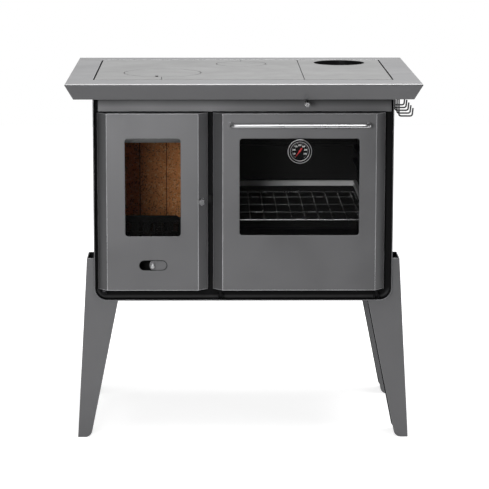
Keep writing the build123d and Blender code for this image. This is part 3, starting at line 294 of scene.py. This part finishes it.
def sill_highlight_mask(g):
    """1 on a narrow band a little inside the casing's bottom edge and its rounded corners: painted light
    along the ledge.
    """
    centre_x = casing_high.x - CASING_CORNER_R
    centre_z = casing_low.z + CASING_CORNER_R
    place = g.axes()
    side = g.math("MAXIMUM", g.math("SUBTRACT", g.math("ABSOLUTE", place["X"]), centre_x), 0.0)
    down = g.math("MAXIMUM", g.math("SUBTRACT", centre_z, place["Z"]), 0.0)
    square = g.math("ADD", g.math("MULTIPLY", side, side), g.math("MULTIPLY", down, down))
    depth = g.math("SUBTRACT", CASING_CORNER_R, g.math("SQRT", square))
    band = g.math("MULTIPLY", g.span(depth, 0.0, 1.0, *SILL_OUTSIDE), g.span(depth, 1.0, 0.0, *SILL_INSIDE))
    return g.math("MULTIPLY", band, g.span(down, 0.0, 1.0, 0.0, SILL_RISE))


def front_highlight_mask(g, edge):
    """1 along a box's front top edge, given as its y and z and the reach of the painted highlight each way.
    """
    y, z, reach_y, reach_z = edge
    place = g.axes()
    near = g.span(place["Y"], 1.0, 0.0, y + 0.7 * reach_y, y + reach_y)
    high = g.span(place["Z"], 0.0, 1.0, z - reach_z, z - 0.7 * reach_z)
    return g.math("MULTIPLY", near, high)


def inside_mask(g, centre):
    """1 on the faces that look towards the point, 0 on those that look away from it."""
    place = g.add("ShaderNodeTexCoord")
    way = g.add("ShaderNodeVectorMath", operation="SUBTRACT")
    g.link(place.outputs["Object"], way.inputs[0])
    way.inputs[1].default_value = centre
    facing = g.add("ShaderNodeVectorMath", operation="DOT_PRODUCT")
    g.link(place.outputs["Normal"], facing.inputs[0])
    g.link(way.outputs[0], facing.inputs[1])
    return g.span(facing.outputs["Value"], 1.0, 0.0, -0.02, 0.0)


def vermiculite():
    """Pressed board: pale and dark flakes in a brown ground, pitted, with darker clouds."""
    g = Graph("vermiculite_board")
    vector = g.coords()
    flakes = g.cells(vector, FLAKE_SCALE)
    grains = g.noise(vector, 520.0, 5.0, 0.7)
    clouds = g.noise(vector, 26.0, 4.0, 0.6)
    ground = g.ramp(grains, [(0.34, (0.50, 0.175, 0.050)), (0.50, (0.86, 0.350, 0.115)),
                             (0.66, (0.95, 0.50, 0.21))])
    specks = g.ramp(flakes, [(0.0, (1.0, 0.76, 0.44)), (0.10, (1.0, 0.70, 0.38)),
                             (0.13, (0.80, 0.33, 0.110)), (0.86, (0.76, 0.30, 0.094)),
                             (0.90, (0.06, 0.022, 0.008))])
    mixed = g.mix(0.55, ground, specks)
    chips = g.add("ShaderNodeSeparateColor")
    g.link(g.cells(vector, CHIP_SCALE), chips.inputs[0])
    mixed = g.mix(g.span(chips.outputs[0], 0.0, 0.50, 0.86, 0.90), mixed, (1.0, 0.66, 0.36))
    mixed = g.mix(g.span(chips.outputs[1], 0.0, 0.60, 0.88, 0.92), mixed, (0.10, 0.035, 0.012))
    tinted = g.mix(g.span(clouds, 0.0, 0.25), mixed, (0.16, 0.07, 0.027))
    g.link(tinted, g.shader.inputs["Base Color"])
    g.shader.inputs["Roughness"].default_value = 0.9
    g.bump(grains, 0.0006)
    return g.material


def rope():
    """Glass-fibre rope: fine crossing threads."""
    g = Graph("seal_rope")
    threads = g.noise(g.coords((1.0, 1.0, 6.0)), 900.0, 3.0, 0.7)
    g.link(g.ramp(threads, [(0.3, (0.035, 0.034, 0.032)), (0.7, (0.20, 0.195, 0.185))]),
           g.shader.inputs["Base Color"])
    g.shader.inputs["Roughness"].default_value = 0.95
    g.shader.inputs["Sheen Weight"].default_value = 0.3
    g.bump(threads, 0.0004)
    return g.material


def pane(name, tint):
    """Clear glass with a little dust in its gloss; shadow, diffuse and glossy rays pass straight through."""
    g = Graph(name)
    smear = g.noise(g.coords(), 18.0, 4.0)
    g.link(g.span(smear, GLASS_ROUGH, GLASS_ROUGH * 2.5), g.shader.inputs["Roughness"])
    g.link(g.mix(g.span(smear, 0.0, 1.0), tint, tone(tint, 0.97)), g.shader.inputs["Base Color"])
    g.shader.inputs["Transmission Weight"].default_value = 1.0
    g.shader.inputs["IOR"].default_value = GLASS_IOR
    path = g.add("ShaderNodeLightPath")
    seen = g.math("MAXIMUM", path.outputs["Is Camera Ray"], path.outputs["Is Transmission Ray"])
    open_way = g.add("ShaderNodeBsdfTransparent")
    either = g.add("ShaderNodeMixShader")
    g.link(seen, either.inputs[0])
    g.link(open_way.outputs[0], either.inputs[1])
    g.link(g.shader.outputs[0], either.inputs[2])
    g.link(either.outputs[0], g.tree.nodes["Material Output"].inputs["Surface"])
    return g.material


def polished(name, colour, roughness, scratch, stretch=(1.0, 1.0, 1.0), bevel=0.0005):
    """Bright metal with fine scratches."""
    g = Graph(name)
    lines = g.noise(g.coords(stretch), 600.0, 3.0, 0.6)
    clouds = g.noise(g.coords(), 14.0, 3.0)
    g.link(g.mix(g.span(lines, 0.0, 1.0), tone(colour, 0.93), colour), g.shader.inputs["Base Color"])
    g.link(g.span(clouds, roughness * 0.7, roughness * 1.4), g.shader.inputs["Roughness"])
    g.shader.inputs["Metallic"].default_value = 1.0
    g.bump(lines, scratch, g.edges(bevel)[1] if bevel else None)
    return g.material


def turned_ring(name, centre, inner, outer):
    """Bezel ring, black between a bright inner lip and a bright outer rim."""
    g = Graph(name)
    offset = g.add("ShaderNodeVectorMath", operation="SUBTRACT")
    g.link(g.coords(), offset.inputs[0])
    offset.inputs[1].default_value = centre
    flat = g.add("ShaderNodeVectorMath", operation="MULTIPLY")
    g.link(offset.outputs[0], flat.inputs[0])
    flat.inputs[1].default_value = (1.0, 0.0, 1.0)
    away = g.add("ShaderNodeVectorMath", operation="LENGTH")
    g.link(flat.outputs[0], away.inputs[0])
    lip = g.span(away.outputs["Value"], 1.0, 0.0, inner + BEZEL_LIP[0], inner + BEZEL_LIP[1])
    rim = g.span(away.outputs["Value"], 0.0, 1.0, outer - BEZEL_RIM[0], outer - BEZEL_RIM[1])
    bright = g.math("MAXIMUM", lip, rim)
    fine = g.noise(g.coords(), 900.0, 3.0)
    g.link(g.mix(bright, (0.010, 0.010, 0.010), (0.60, 0.60, 0.61)), g.shader.inputs["Base Color"])
    g.link(bright, g.shader.inputs["Metallic"])
    g.link(g.span(bright, 0.7, 0.28, 0.0, 1.0), g.shader.inputs["Roughness"])
    g.shader.inputs["Specular IOR Level"].default_value = 0.1
    g.bump(fine, 0.000002)
    return g.material


def cast(name, colour, roughness, depth):
    """Sand-cast iron: coarse grain, small pits, edges made bright by use."""
    g = Graph(name)
    vector = g.coords()
    grains = g.noise(vector, 420.0, 6.0, 0.65)
    clouds = g.noise(vector, 11.0, 4.0)
    body = g.mix(g.span(grains, 0.0, 1.0), tone(colour, 0.72), tone(colour, 1.25))
    edge, rounded = g.edges(0.0015)
    edge_lightened = g.math("MULTIPLY", edge, g.span(grains, 0.05, 0.5))
    g.link(g.mix(edge_lightened, body, tone(colour, 2.2)), g.shader.inputs["Base Color"])
    g.link(g.span(clouds, roughness - 0.1, roughness + 0.08), g.shader.inputs["Roughness"])
    g.shader.inputs["Specular IOR Level"].default_value = 0.04
    g.bump(grains, depth, rounded)
    return g.material


finish = {
    "paint": stove_paint("grey_stove_paint", wear=0.8, bevel=0.0022),
    "firebox_door": door_paint("firebox_door_skin"),
    "oven_door": door_paint("oven_door_skin"),
    # painted shadow: the strip darkens towards its top, under the overhang of the worktop
    "strip": stove_paint("strip_paint", wear=0.5, shade=(height_mask(*strip_shade), tone(GREY, 0.04))),
    # the worktop's front top edge gets a thin painted highlight
    "worktop": stove_paint("worktop_paint", wear=0.8, bevel=0.0022, rough_spread=0.07,
                           patch_stretch=(0.6, 1.2, 1.0), rubbed=(worktop_low.y, worktop_high.z, *FRONT_HIGHLIGHT_REACH)),
    "casing": stove_paint("casing_paint", wear=0.6, inside=middle_of("casing")),
    "inner": black_paint("black_inner_paint", sheen=0.12),
    # painted light: a paler band along the bottom and corners of the front plate, where the ledge catches
    # light from above
    "plate": black_paint("front_plate_paint", sheen=0.05, shade=(sill_highlight_mask, SILL_HIGHLIGHT_GREY)),
    "hob": hob_iron("ground_hob_iron"),
    "collar": hob_iron("sooted_collar", inside=middle_of("flue_collar")),
    "iron": cast("sand_cast_iron", (0.004, 0.0039, 0.0038), roughness=0.75, depth=0.0003),
    "enamel": coated("oven_enamel", ENAMEL_BLACK, 0.42, wear=0.1, grain=2500.0, depth=0.000004, sheen=0.08),
    # painted light: the lit lower ledge in the oven is painted pale; above the height it keeps the black
    # enamel
    "band": coated("oven_band_painted_light", (0.80, 0.80, 0.805), 0.40, wear=0.1, grain=2500.0, depth=0.000006,
                   sheen=0.1, shade=(height_mask(BAND_TOP, BAND_TOP + BAND_FADE), ENAMEL_BLACK)),
    "steel": polished("bright_steel", (0.55, 0.55, 0.56), 0.32, scratch=0.00002, stretch=(1.0, 1.0, 20.0)),
    "wire": polished("rack_wire", (0.30, 0.30, 0.305), 0.22, scratch=0.000003),
    "dark_steel": polished("dark_steel", (0.10, 0.10, 0.105), 0.35, scratch=0.00001),
    "chrome": polished("chrome_plate", (0.56, 0.56, 0.57), 0.30, scratch=0.0000002, stretch=(0.04, 1.0, 1.0),
                       bevel=None),
    "bezel": turned_ring("thermometer_ring", middle_of("thermometer_bezel"), BEZEL_INNER_R,
                         (bezel_high.x - bezel_low.x) / 2),
    "knobs": polished("satin_knobs", (0.66, 0.66, 0.67), 0.28, scratch=0.000003),
    "board": vermiculite(),
    "rope": rope(),
    "glass": pane("door_glass", (0.93, 0.94, 0.93)),
    "lens": pane("lens_glass", (0.98, 0.98, 0.98)),
    "dial": coated("dial_black", (0.006, 0.006, 0.007), 0.6, wear=0.0, bevel=0.0003, sheen=0.04),
    "needle": coated("needle_red", (0.62, 0.02, 0.02), 0.4, wear=0.0, bevel=0.0001, grain=3000.0),
    "print": coated("dial_white_print", (0.92, 0.92, 0.92), 0.5, wear=0.0, bevel=0.0001, grain=3000.0),
}

coats = {
    "worktop": ["top_frame"],
    "strip": ["front_strip"],
    "firebox_door": ["firebox_door_skin"],
    "oven_door": ["oven_door_skin"],
    "paint": ["rear_panel", "latch_knob", "shutter_plate", "hook_rail"],
    "plate": ["front_plate"],
    "inner": ["firebox_shell", "ash_pan", "smoke_box",
              "firebox_door_frame", "oven_door_frame", "firebox_glass_frame", "oven_glass_frame",
              "firebox_hinge_brackets", "latch_keeper", "oven_hinge_arms", "oven_hinge_lugs",
              "shutter_guides", "damper_plate", "hob_support"],
    "enamel": ["oven_box", "oven_runners"],
    "band": ["oven_stops"],
    "hob": ["hob_plate", "front_lid", "rear_lid", "flue_plate"],
    "collar": ["flue_collar"],
    "iron": ["grate_frame", "grate", "log_retainer"],
    "steel": ["damper_rod", "air_deflector"],
    "wire": ["oven_rack"],
    "dark_steel": ["firebox_hinge_pins", "latch_shaft", "leg_bolts", "thermometer_case", "hooks"],
    "chrome": ["oven_handle"],
    "bezel": ["thermometer_bezel"],
    "knobs": ["damper_knob", "shutter_pin"],
    "board": ["back_boards", "side_boards"],
    "glass": ["firebox_glass", "oven_glass"],
    "lens": ["thermometer_lens"],
    "dial": ["thermometer_dial"],
    "needle": ["thermometer_needle"],
    "casing": ["casing"],
}


def dress(obj, material):
    obj.data.materials.clear()
    obj.data.materials.append(material)


for coat, names in coats.items():
    for name in names:
        dress(nodes[name], finish[coat])

# painted shade: the faces inside each open leg, turned towards its middle, are painted black
for name in ("leg_front_left", "leg_front_right", "leg_rear_left", "leg_rear_right"):
    dress(nodes[name], stove_paint(name + "_paint", wear=0.8, bevel=0.0022, inside=middle_of(name)))


# ---------------------------------------------------------------- new pieces
def piece(name, mesh_builder, material, body, smooth=False):
    """New object that rides on a body, with the mesh that the builder makes."""
    mesh = bpy.data.meshes.new(name)
    bm = bmesh.new()
    mesh_builder(bm)
    bmesh.ops.recalc_face_normals(bm, faces=bm.faces)
    bm.to_mesh(mesh)
    bm.free()
    mesh.materials.append(material)
    for polygon in mesh.polygons:
        polygon.use_smooth = smooth
    obj = bpy.data.objects.new(name, mesh)
    scene.collection.objects.link(obj)
    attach(obj, body)
    return obj


def join_rings(bm, rings):
    """Bands of faces from each ring to the next."""
    for ring, nxt in zip(rings, rings[1:]):
        count = len(ring)
        for k in range(count):
            bm.faces.new((ring[k], ring[(k + 1) % count], nxt[(k + 1) % count], nxt[k]))


# ---------------------------------------------------------------- rope seals
ROPE_WIDTH = 0.010
ROPE_CORNER_R = 0.008
ROPE_STEP = 0.0024
ROPE_PITCH = 0.024
ROPE_STRANDS = 4
STRAND_R = 0.0031
STRAND_SIDES = 7
STRAND_GAP = 0.0002
CORNER_STEPS = 8


def rounded_loop(x0, x1, z0, z1, radius, step):
    """Evenly spaced points round an upright rectangle with rounded corners, with their outward directions."""
    points = []
    for cx, cz, start in ((x1 - radius, z1 - radius, 0), (x0 + radius, z1 - radius, 90),
                          (x0 + radius, z0 + radius, 180), (x1 - radius, z0 + radius, 270)):
        for index in range(CORNER_STEPS + 1):
            angle = math.radians(start + index * 90 / CORNER_STEPS)
            points.append(Vector((cx + radius * math.cos(angle), 0, cz + radius * math.sin(angle))))
    lengths = [0.0]
    closed = points + [points[0]]
    for a, b in zip(closed, closed[1:]):
        lengths.append(lengths[-1] + (b - a).length)
    total = lengths[-1]
    count = int(total / step)
    loop = []
    segment = 0
    for index in range(count):
        run = total * index / count
        while lengths[segment + 1] < run:
            segment += 1
        a, b = closed[segment], closed[segment + 1]
        along = (run - lengths[segment]) / max(1e-9, lengths[segment + 1] - lengths[segment])
        way = (b - a).normalized()
        loop.append((a.lerp(b, along), Vector((way.z, 0, -way.x))))
    return loop, total


def tube_ring(bm, centres, sides_of, radius, sides):
    """Closed tube through the centres; sides_of gives two directions across it at each of them."""
    rings = []
    for centre, (u, v) in zip(centres, sides_of):
        rings.append([bm.verts.new(centre + u * radius * math.cos(a) + v * radius * math.sin(a))
                      for a in (2 * math.pi * k / sides for k in range(sides))])
    join_rings(bm, rings + rings[:1])


def seal_rope(node, name, body):
    """Twisted rope in place of a plain seal ring."""
    low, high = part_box(node)
    half_y = (high.y - low.y) / 2
    half = ROPE_WIDTH / 2
    swing_y = half_y - STRAND_R - STRAND_GAP
    swing = half - STRAND_R
    mid_y = (low.y + high.y) / 2
    loop, total = rounded_loop(low.x + half, high.x - half, low.z + half, high.z - half,
                               ROPE_CORNER_R, ROPE_STEP)
    turns = round(total / ROPE_PITCH)

    def build(bm):
        for start in range(ROPE_STRANDS):
            centres, across = [], []
            for index, (point, out) in enumerate(loop):
                angle = 2 * math.pi * (turns * index / len(loop) + start / ROPE_STRANDS)
                centres.append(point + out * swing * math.cos(angle)
                               + Vector((0, mid_y + swing_y * math.sin(angle), 0)))
                across.append((out, Vector((0, 1, 0))))
            tube_ring(bm, centres, across, STRAND_R, STRAND_SIDES)

    obj = piece(name, build, finish["rope"], body, smooth=True)
    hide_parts(node)


seal_rope("firebox_seal", "firebox_seal_rope", "firebox_door")
seal_rope("oven_seal", "oven_seal_rope", "oven_door")

# ---------------------------------------------------------------- air slot
SLOT_MIDDLE = (-0.2258, 0.4487)
SLOT_HALF = 0.0220
SLOT_R = 0.0130
SLOT_RIM = 0.0013
SLOT_CLEAR = 0.0001
SLOT_DEPTH = (0.0010, 0.0022)    # the dark ring's front and back, behind the face of the door skin
SLOT_STEPS = 12


def slot_loop(radius, y):
    """Points round the air slot, which is a bar with round ends."""
    points = []
    for side, start in ((1, -90), (-1, 90)):
        for index in range(SLOT_STEPS + 1):
            angle = math.radians(start + index * 180 / SLOT_STEPS)
            points.append(Vector((SLOT_MIDDLE[0] + side * SLOT_HALF + radius * math.cos(angle), y,
                                  SLOT_MIDDLE[1] + radius * math.sin(angle))))
    return points


def slot_shadow_ring(bm):
    """Thin dark strip between the door skin and the shutter, round the inside of the slot: painted shade
    along the slot's edge.
    """
    y0, y1 = (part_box("firebox_door_skin")[0].y + depth for depth in SLOT_DEPTH)
    outer, inner = SLOT_R - SLOT_CLEAR, SLOT_R - SLOT_RIM
    rings = [[bm.verts.new(point) for point in slot_loop(radius, y)]
             for radius, y in ((outer, y0), (inner, y0), (inner, y1), (outer, y1))]
    join_rings(bm, rings + rings[:1])


# painted shade: a dark ring round the slot's edge, where the skin shades the shutter
piece("air_slot_shadow_ring", slot_shadow_ring, finish["inner"], "firebox_door")


# ---------------------------------------------------------------- dark discs of painted shade, and screws
SHADOW_DISC_R = 0.0077
SHADOW_DISC_THICKNESS = 0.0010
HOLE_SHADE_R = 0.0014
HOLE_SHADE_THICKNESS = 0.0004
HOLE_SHADE_PROUD = 0.0002
DISC_SIDES = 24
SCREW_SIDES = 18
PANEL_SCREW = (0.014, 0.0042)    # inset from the edges and radius of the head
GLASS_SCREW = (0.006, 0.0026)


def ring_of(bm, x, y, z, radius, sides):
    """Vertices round an upright circle that faces front and back."""
    return [bm.verts.new((x + radius * math.cos(2 * math.pi * k / sides), y,
                          z + radius * math.sin(2 * math.pi * k / sides))) for k in range(sides)]


def disc(bm, x, y, z, radius, thickness):
    """Round disc with a small chamfer at its front, from y backwards."""
    edge = 0.25 * thickness
    rings = [ring_of(bm, x, y + depth, z, ring_r, DISC_SIDES)
             for ring_r, depth in ((radius - edge, 0.0), (radius, edge), (radius, thickness))]
    bm.faces.new(rings[0])
    bm.faces.new(rings[-1][::-1])
    join_rings(bm, rings)


def screw(bm, x, y, z, radius):
    """Domed screw head with a round socket, on a sheet whose rear face is at y."""
    rise = 0.45 * radius
    rings = [ring_of(bm, x, y + rise * math.sqrt(1.0 - share * share), z, share * radius, SCREW_SIDES)
             for share in (1.0, 0.85, 0.55, 0.28)]
    pit = [bm.verts.new((vert.co.x, y + 0.35 * rise, vert.co.z)) for vert in rings[-1]]
    bm.faces.new(rings[0])
    join_rings(bm, rings + [pit])
    bm.faces.new(pit[::-1])


def frame_spots(node, inset, columns, rows):
    """Evenly spaced points along the edges of a node's box, seen from the front."""
    low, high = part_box(node)
    xs = [low.x + inset + (high.x - low.x - 2 * inset) * k / (columns - 1) for k in range(columns)]
    zs = [low.z + inset + (high.z - low.z - 2 * inset) * k / (rows - 1) for k in range(rows)]
    spots = [(x, z) for x in xs for z in (zs[0], zs[-1])]
    return spots + [(x, z) for x in (xs[0], xs[-1]) for z in zs[1:-1]]


def screw_set(name, node, body, columns, rows, inset, radius):
    """Screws on the rear face of a node, along its four edges."""
    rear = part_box(node)[1].y

    def build(bm):
        for x, z in frame_spots(node, inset, columns, rows):
            screw(bm, x, rear, z, radius)

    piece(name, build, finish["dark_steel"], body, smooth=True)


latch_middle = middle_of("latch_knob")
latch_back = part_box("latch_knob")[1].y
damper_middle = middle_of("damper_knob")
damper_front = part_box("damper_knob")[0].y - HOLE_SHADE_PROUD
# painted shade: a dark disc behind the latch knob, seen in the notches between its lobes
piece("latch_shadow_disc",
      lambda bm: disc(bm, latch_middle.x, latch_back, latch_middle.z, SHADOW_DISC_R, SHADOW_DISC_THICKNESS),
      finish["inner"], "latch")
# painted shade: a small dark disc on the front of the damper knob, for the shade of a hole at its centre
piece("damper_knob_hole_shade",
      lambda bm: disc(bm, damper_middle.x, damper_front, damper_middle.z, HOLE_SHADE_R, HOLE_SHADE_THICKNESS),
      finish["inner"], "damper")
screw_set("rear_panel_screws", "rear_panel", "stove", 6, 4, *PANEL_SCREW)
screw_set("firebox_glass_screws", "firebox_glass_frame", "firebox_door", 2, 3, *GLASS_SCREW)
screw_set("oven_glass_screws", "oven_glass_frame", "oven_door", 4, 3, *GLASS_SCREW)

# ---------------------------------------------------------------- thermometer print
dial_centre = middle_of("thermometer_dial")
dial_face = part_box("thermometer_dial")[0].y
NUMBERS = 7
FIRST_NUMBER = 50
NUMBER_STEP = 50
NUMBER_ANGLE = 39.0
NUMBER_R = 0.0148
NUMBER_SIZE = 0.0050
NUMBER_HALF_DEPTH = 0.00005
NUMBER_BOLDER = 0.00020
PRINT_LIFT = 0.00012
PRINT_DEPTH = 0.0001
TICKS = 46
TICKS_START = 216.0
TICKS_SWEEP = 288.0
TICKS_PER_LONG = 5
TICK_OUTER_R = 0.0198
LONG_TICK = (0.0180, 0.0006)     # inner radius and width
SHORT_TICK = (0.0188, 0.0003)


def dial_point(angle, radius):
    """Point just in front of the dial, angle clockwise from straight up."""
    a = math.radians(angle)
    return Vector((dial_centre.x + radius * math.sin(a), dial_face - PRINT_LIFT,
                   dial_centre.z + radius * math.cos(a)))


def bar(bm, angle, r0, r1, width):
    """Thin bar printed on the dial, from one radius to another."""
    across = Vector((math.cos(math.radians(angle)), 0, -math.sin(math.radians(angle)))) * width / 2
    low, high = dial_point(angle, r0), dial_point(angle, r1)
    front = [bm.verts.new(p) for p in (low - across, low + across, high + across, high - across)]
    back = [bm.verts.new(v.co + Vector((0, PRINT_DEPTH, 0))) for v in front]
    bm.faces.new(front)
    bm.faces.new(back[::-1])
    for k in range(4):
        bm.faces.new((front[k], back[k], back[(k + 1) % 4], front[(k + 1) % 4]))


def ticks(bm):
    for index in range(TICKS):
        inner, width = SHORT_TICK if index % TICKS_PER_LONG else LONG_TICK
        bar(bm, TICKS_START + index * TICKS_SWEEP / (TICKS - 1), inner, TICK_OUTER_R, width)


def number(text, angle):
    curve = bpy.data.curves.new("dial_number_" + text, "FONT")
    curve.body = text
    curve.size = NUMBER_SIZE
    curve.align_x = "CENTER"
    curve.align_y = "CENTER"
    curve.extrude = NUMBER_HALF_DEPTH
    curve.offset = NUMBER_BOLDER
    text_object = bpy.data.objects.new("dial_number_" + text, curve)
    scene.collection.objects.link(text_object)
    text_object.location = dial_point(angle, NUMBER_R)
    text_object.rotation_euler = (math.radians(90), 0, 0)
    curve.materials.append(finish["print"])
    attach(text_object, "oven_door")


piece("dial_ticks", ticks, finish["print"], "oven_door")
for index in range(NUMBERS):
    number(str(FIRST_NUMBER + index * NUMBER_STEP), (index - (NUMBERS - 1) / 2) * NUMBER_ANGLE)


# ---------------------------------------------------------------- floor, light and camera
FLOOR_REACH_FRONT = 1.5
FLOOR_REACH = 6.0
FLOOR_GLOW = (0.80, 1.0)         # its glow near the object and far from it
FLOOR_GLOW_REACH = (0.5, 1.3)
FLOOR_GLOSS = (0.15, 1.0)        # what gloss sees of the floor in front of the object and behind it
FLOOR_GLOSS_REACH = (-0.2, 0.8)
WORLD_FILL = 0.14
GLOSS_BEHIND = (0.05, 1.0)       # what gloss sees of the world from the sides to straight behind
GLOSS_BEHIND_REACH = (0.0, 0.55)
GLOSS_FRONT = (0.30, 0.0)        # and from straight in front to the sides
GLOSS_FRONT_REACH = (-1.0, -0.72)
GLOSS_LEFT = (1.20, 0.22)        # share of the front wall from its left to its right
GLOSS_LEFT_REACH = (-0.30, 0.30)

floor_mesh = bpy.data.meshes.new("floor")
floor_mesh.from_pydata([(-FLOOR_REACH, -FLOOR_REACH_FRONT, 0), (FLOOR_REACH, -FLOOR_REACH_FRONT, 0),
                        (FLOOR_REACH, FLOOR_REACH, 0), (-FLOOR_REACH, FLOOR_REACH, 0)], [], [(0, 1, 2, 3)])
floor = bpy.data.objects.new("floor", floor_mesh)
scene.collection.objects.link(floor)


def floor_material():
    """White to the camera; for gloss white behind the object and dimmer in front, like the studio."""
    g = Graph("pale_floor")
    g.shader.inputs["Base Color"].default_value = (0.64, 0.64, 0.64, 1)
    g.shader.inputs["Roughness"].default_value = 0.9
    g.shader.inputs["Specular IOR Level"].default_value = 0.1
    glow = g.add("ShaderNodeEmission")
    path = g.add("ShaderNodeLightPath")
    seen = g.math("MAXIMUM", path.outputs["Is Camera Ray"], path.outputs["Is Glossy Ray"])
    seen = g.math("MAXIMUM", seen, path.outputs["Is Transmission Ray"])
    away = g.add("ShaderNodeVectorMath", operation="LENGTH")
    g.link(g.coords(), away.inputs[0])
    reach = g.span(away.outputs["Value"], *FLOOR_GLOW, *FLOOR_GLOW_REACH)
    behind = g.span(g.axes()["Y"], *FLOOR_GLOSS, *FLOOR_GLOSS_REACH)
    plain = g.math("SUBTRACT", 1.0, path.outputs["Is Glossy Ray"])
    dimmed = g.math("MAXIMUM", plain, behind)
    g.link(g.math("MULTIPLY", g.math("MULTIPLY", seen, reach), dimmed), glow.inputs["Strength"])
    both = g.add("ShaderNodeAddShader")
    g.link(g.shader.outputs[0], both.inputs[0])
    g.link(glow.outputs[0], both.inputs[1])
    g.link(both.outputs[0], g.tree.nodes["Material Output"].inputs["Surface"])
    return g.material


floor_mesh.materials.append(floor_material())


def studio_world():
    """White to the camera; for gloss white behind, dark sides and a grey front wall; soft fill elsewhere."""
    world = bpy.data.worlds.new("studio")
    scene.world = world
    world.use_nodes = True
    g = Nodes(world.node_tree)
    place = g.add("ShaderNodeTexCoord")
    way = g.add("ShaderNodeSeparateXYZ")
    g.link(place.outputs["Generated"], way.inputs[0])
    behind = g.span(way.outputs["Y"], *GLOSS_BEHIND, *GLOSS_BEHIND_REACH, kind="SMOOTHSTEP")
    front = g.span(way.outputs["Y"], *GLOSS_FRONT, *GLOSS_FRONT_REACH, kind="SMOOTHSTEP")
    left_more = g.span(way.outputs["X"], *GLOSS_LEFT, *GLOSS_LEFT_REACH, kind="SMOOTHSTEP")
    path = g.add("ShaderNodeLightPath")
    gloss = g.add("ShaderNodeMix")
    gloss.inputs[2].default_value = WORLD_FILL
    g.link(path.outputs["Is Glossy Ray"], gloss.inputs[0])
    g.link(g.math("ADD", behind, g.math("MULTIPLY", front, left_more)), gloss.inputs[3])
    clear = g.math("MAXIMUM", path.outputs["Is Camera Ray"], path.outputs["Is Transmission Ray"])
    final = g.add("ShaderNodeMix")
    final.inputs[3].default_value = 1.0
    g.link(clear, final.inputs[0])
    g.link(gloss.outputs[0], final.inputs[2])
    background = g.tree.nodes["Background"]
    background.inputs["Color"].default_value = (1, 1, 1, 1)
    g.link(final.outputs[0], background.inputs["Strength"])


studio_world()


def lamp(name, place, aim, width, tall, watts):
    light = bpy.data.lights.new(name, "AREA")
    light.shape = "RECTANGLE"
    light.size = width
    light.size_y = tall
    light.energy = watts
    obj = bpy.data.objects.new(name, light)
    scene.collection.objects.link(obj)
    obj.location = place
    obj.rotation_euler = (Vector(aim) - Vector(place)).to_track_quat("-Z", "Y").to_euler()


lamp("top_softbox", place=(0.25, -0.2, 2.9), aim=(0.0, 0.0, 0.9), width=2.4, tall=2.0, watts=106)
lamp("key_softbox", place=(-0.9, -2.2, 2.7), aim=(0.0, 0.0, 0.6), width=1.6, tall=1.2, watts=3)
lamp("front_softbox", place=(-0.74, -3.4, 1.15), aim=(0.0, 0.0, 0.6), width=0.7, tall=0.7, watts=35)
lamp("right_fill", place=(2.6, -1.8, 1.1), aim=(0.0, 0.0, 0.6), width=0.8, tall=1.2, watts=5)

CAMERA_PLACE = (-0.0853, -5.8594, 1.5065)
CAMERA_PITCH = 9.603
CAMERA_YAW = -0.362
CAMERA_LENS = 166.59
CAMERA_SHIFT = (0.0432, -0.05)

camera_data = bpy.data.cameras.new("camera")
camera_data.lens = CAMERA_LENS
camera_data.sensor_width = 36.0
camera_data.shift_x, camera_data.shift_y = CAMERA_SHIFT
camera = bpy.data.objects.new("camera", camera_data)
scene.collection.objects.link(camera)
camera.location = CAMERA_PLACE
camera.rotation_euler = (math.radians(90 - CAMERA_PITCH), 0, math.radians(CAMERA_YAW))
scene.camera = camera
scene.view_settings.view_transform = "Standard"
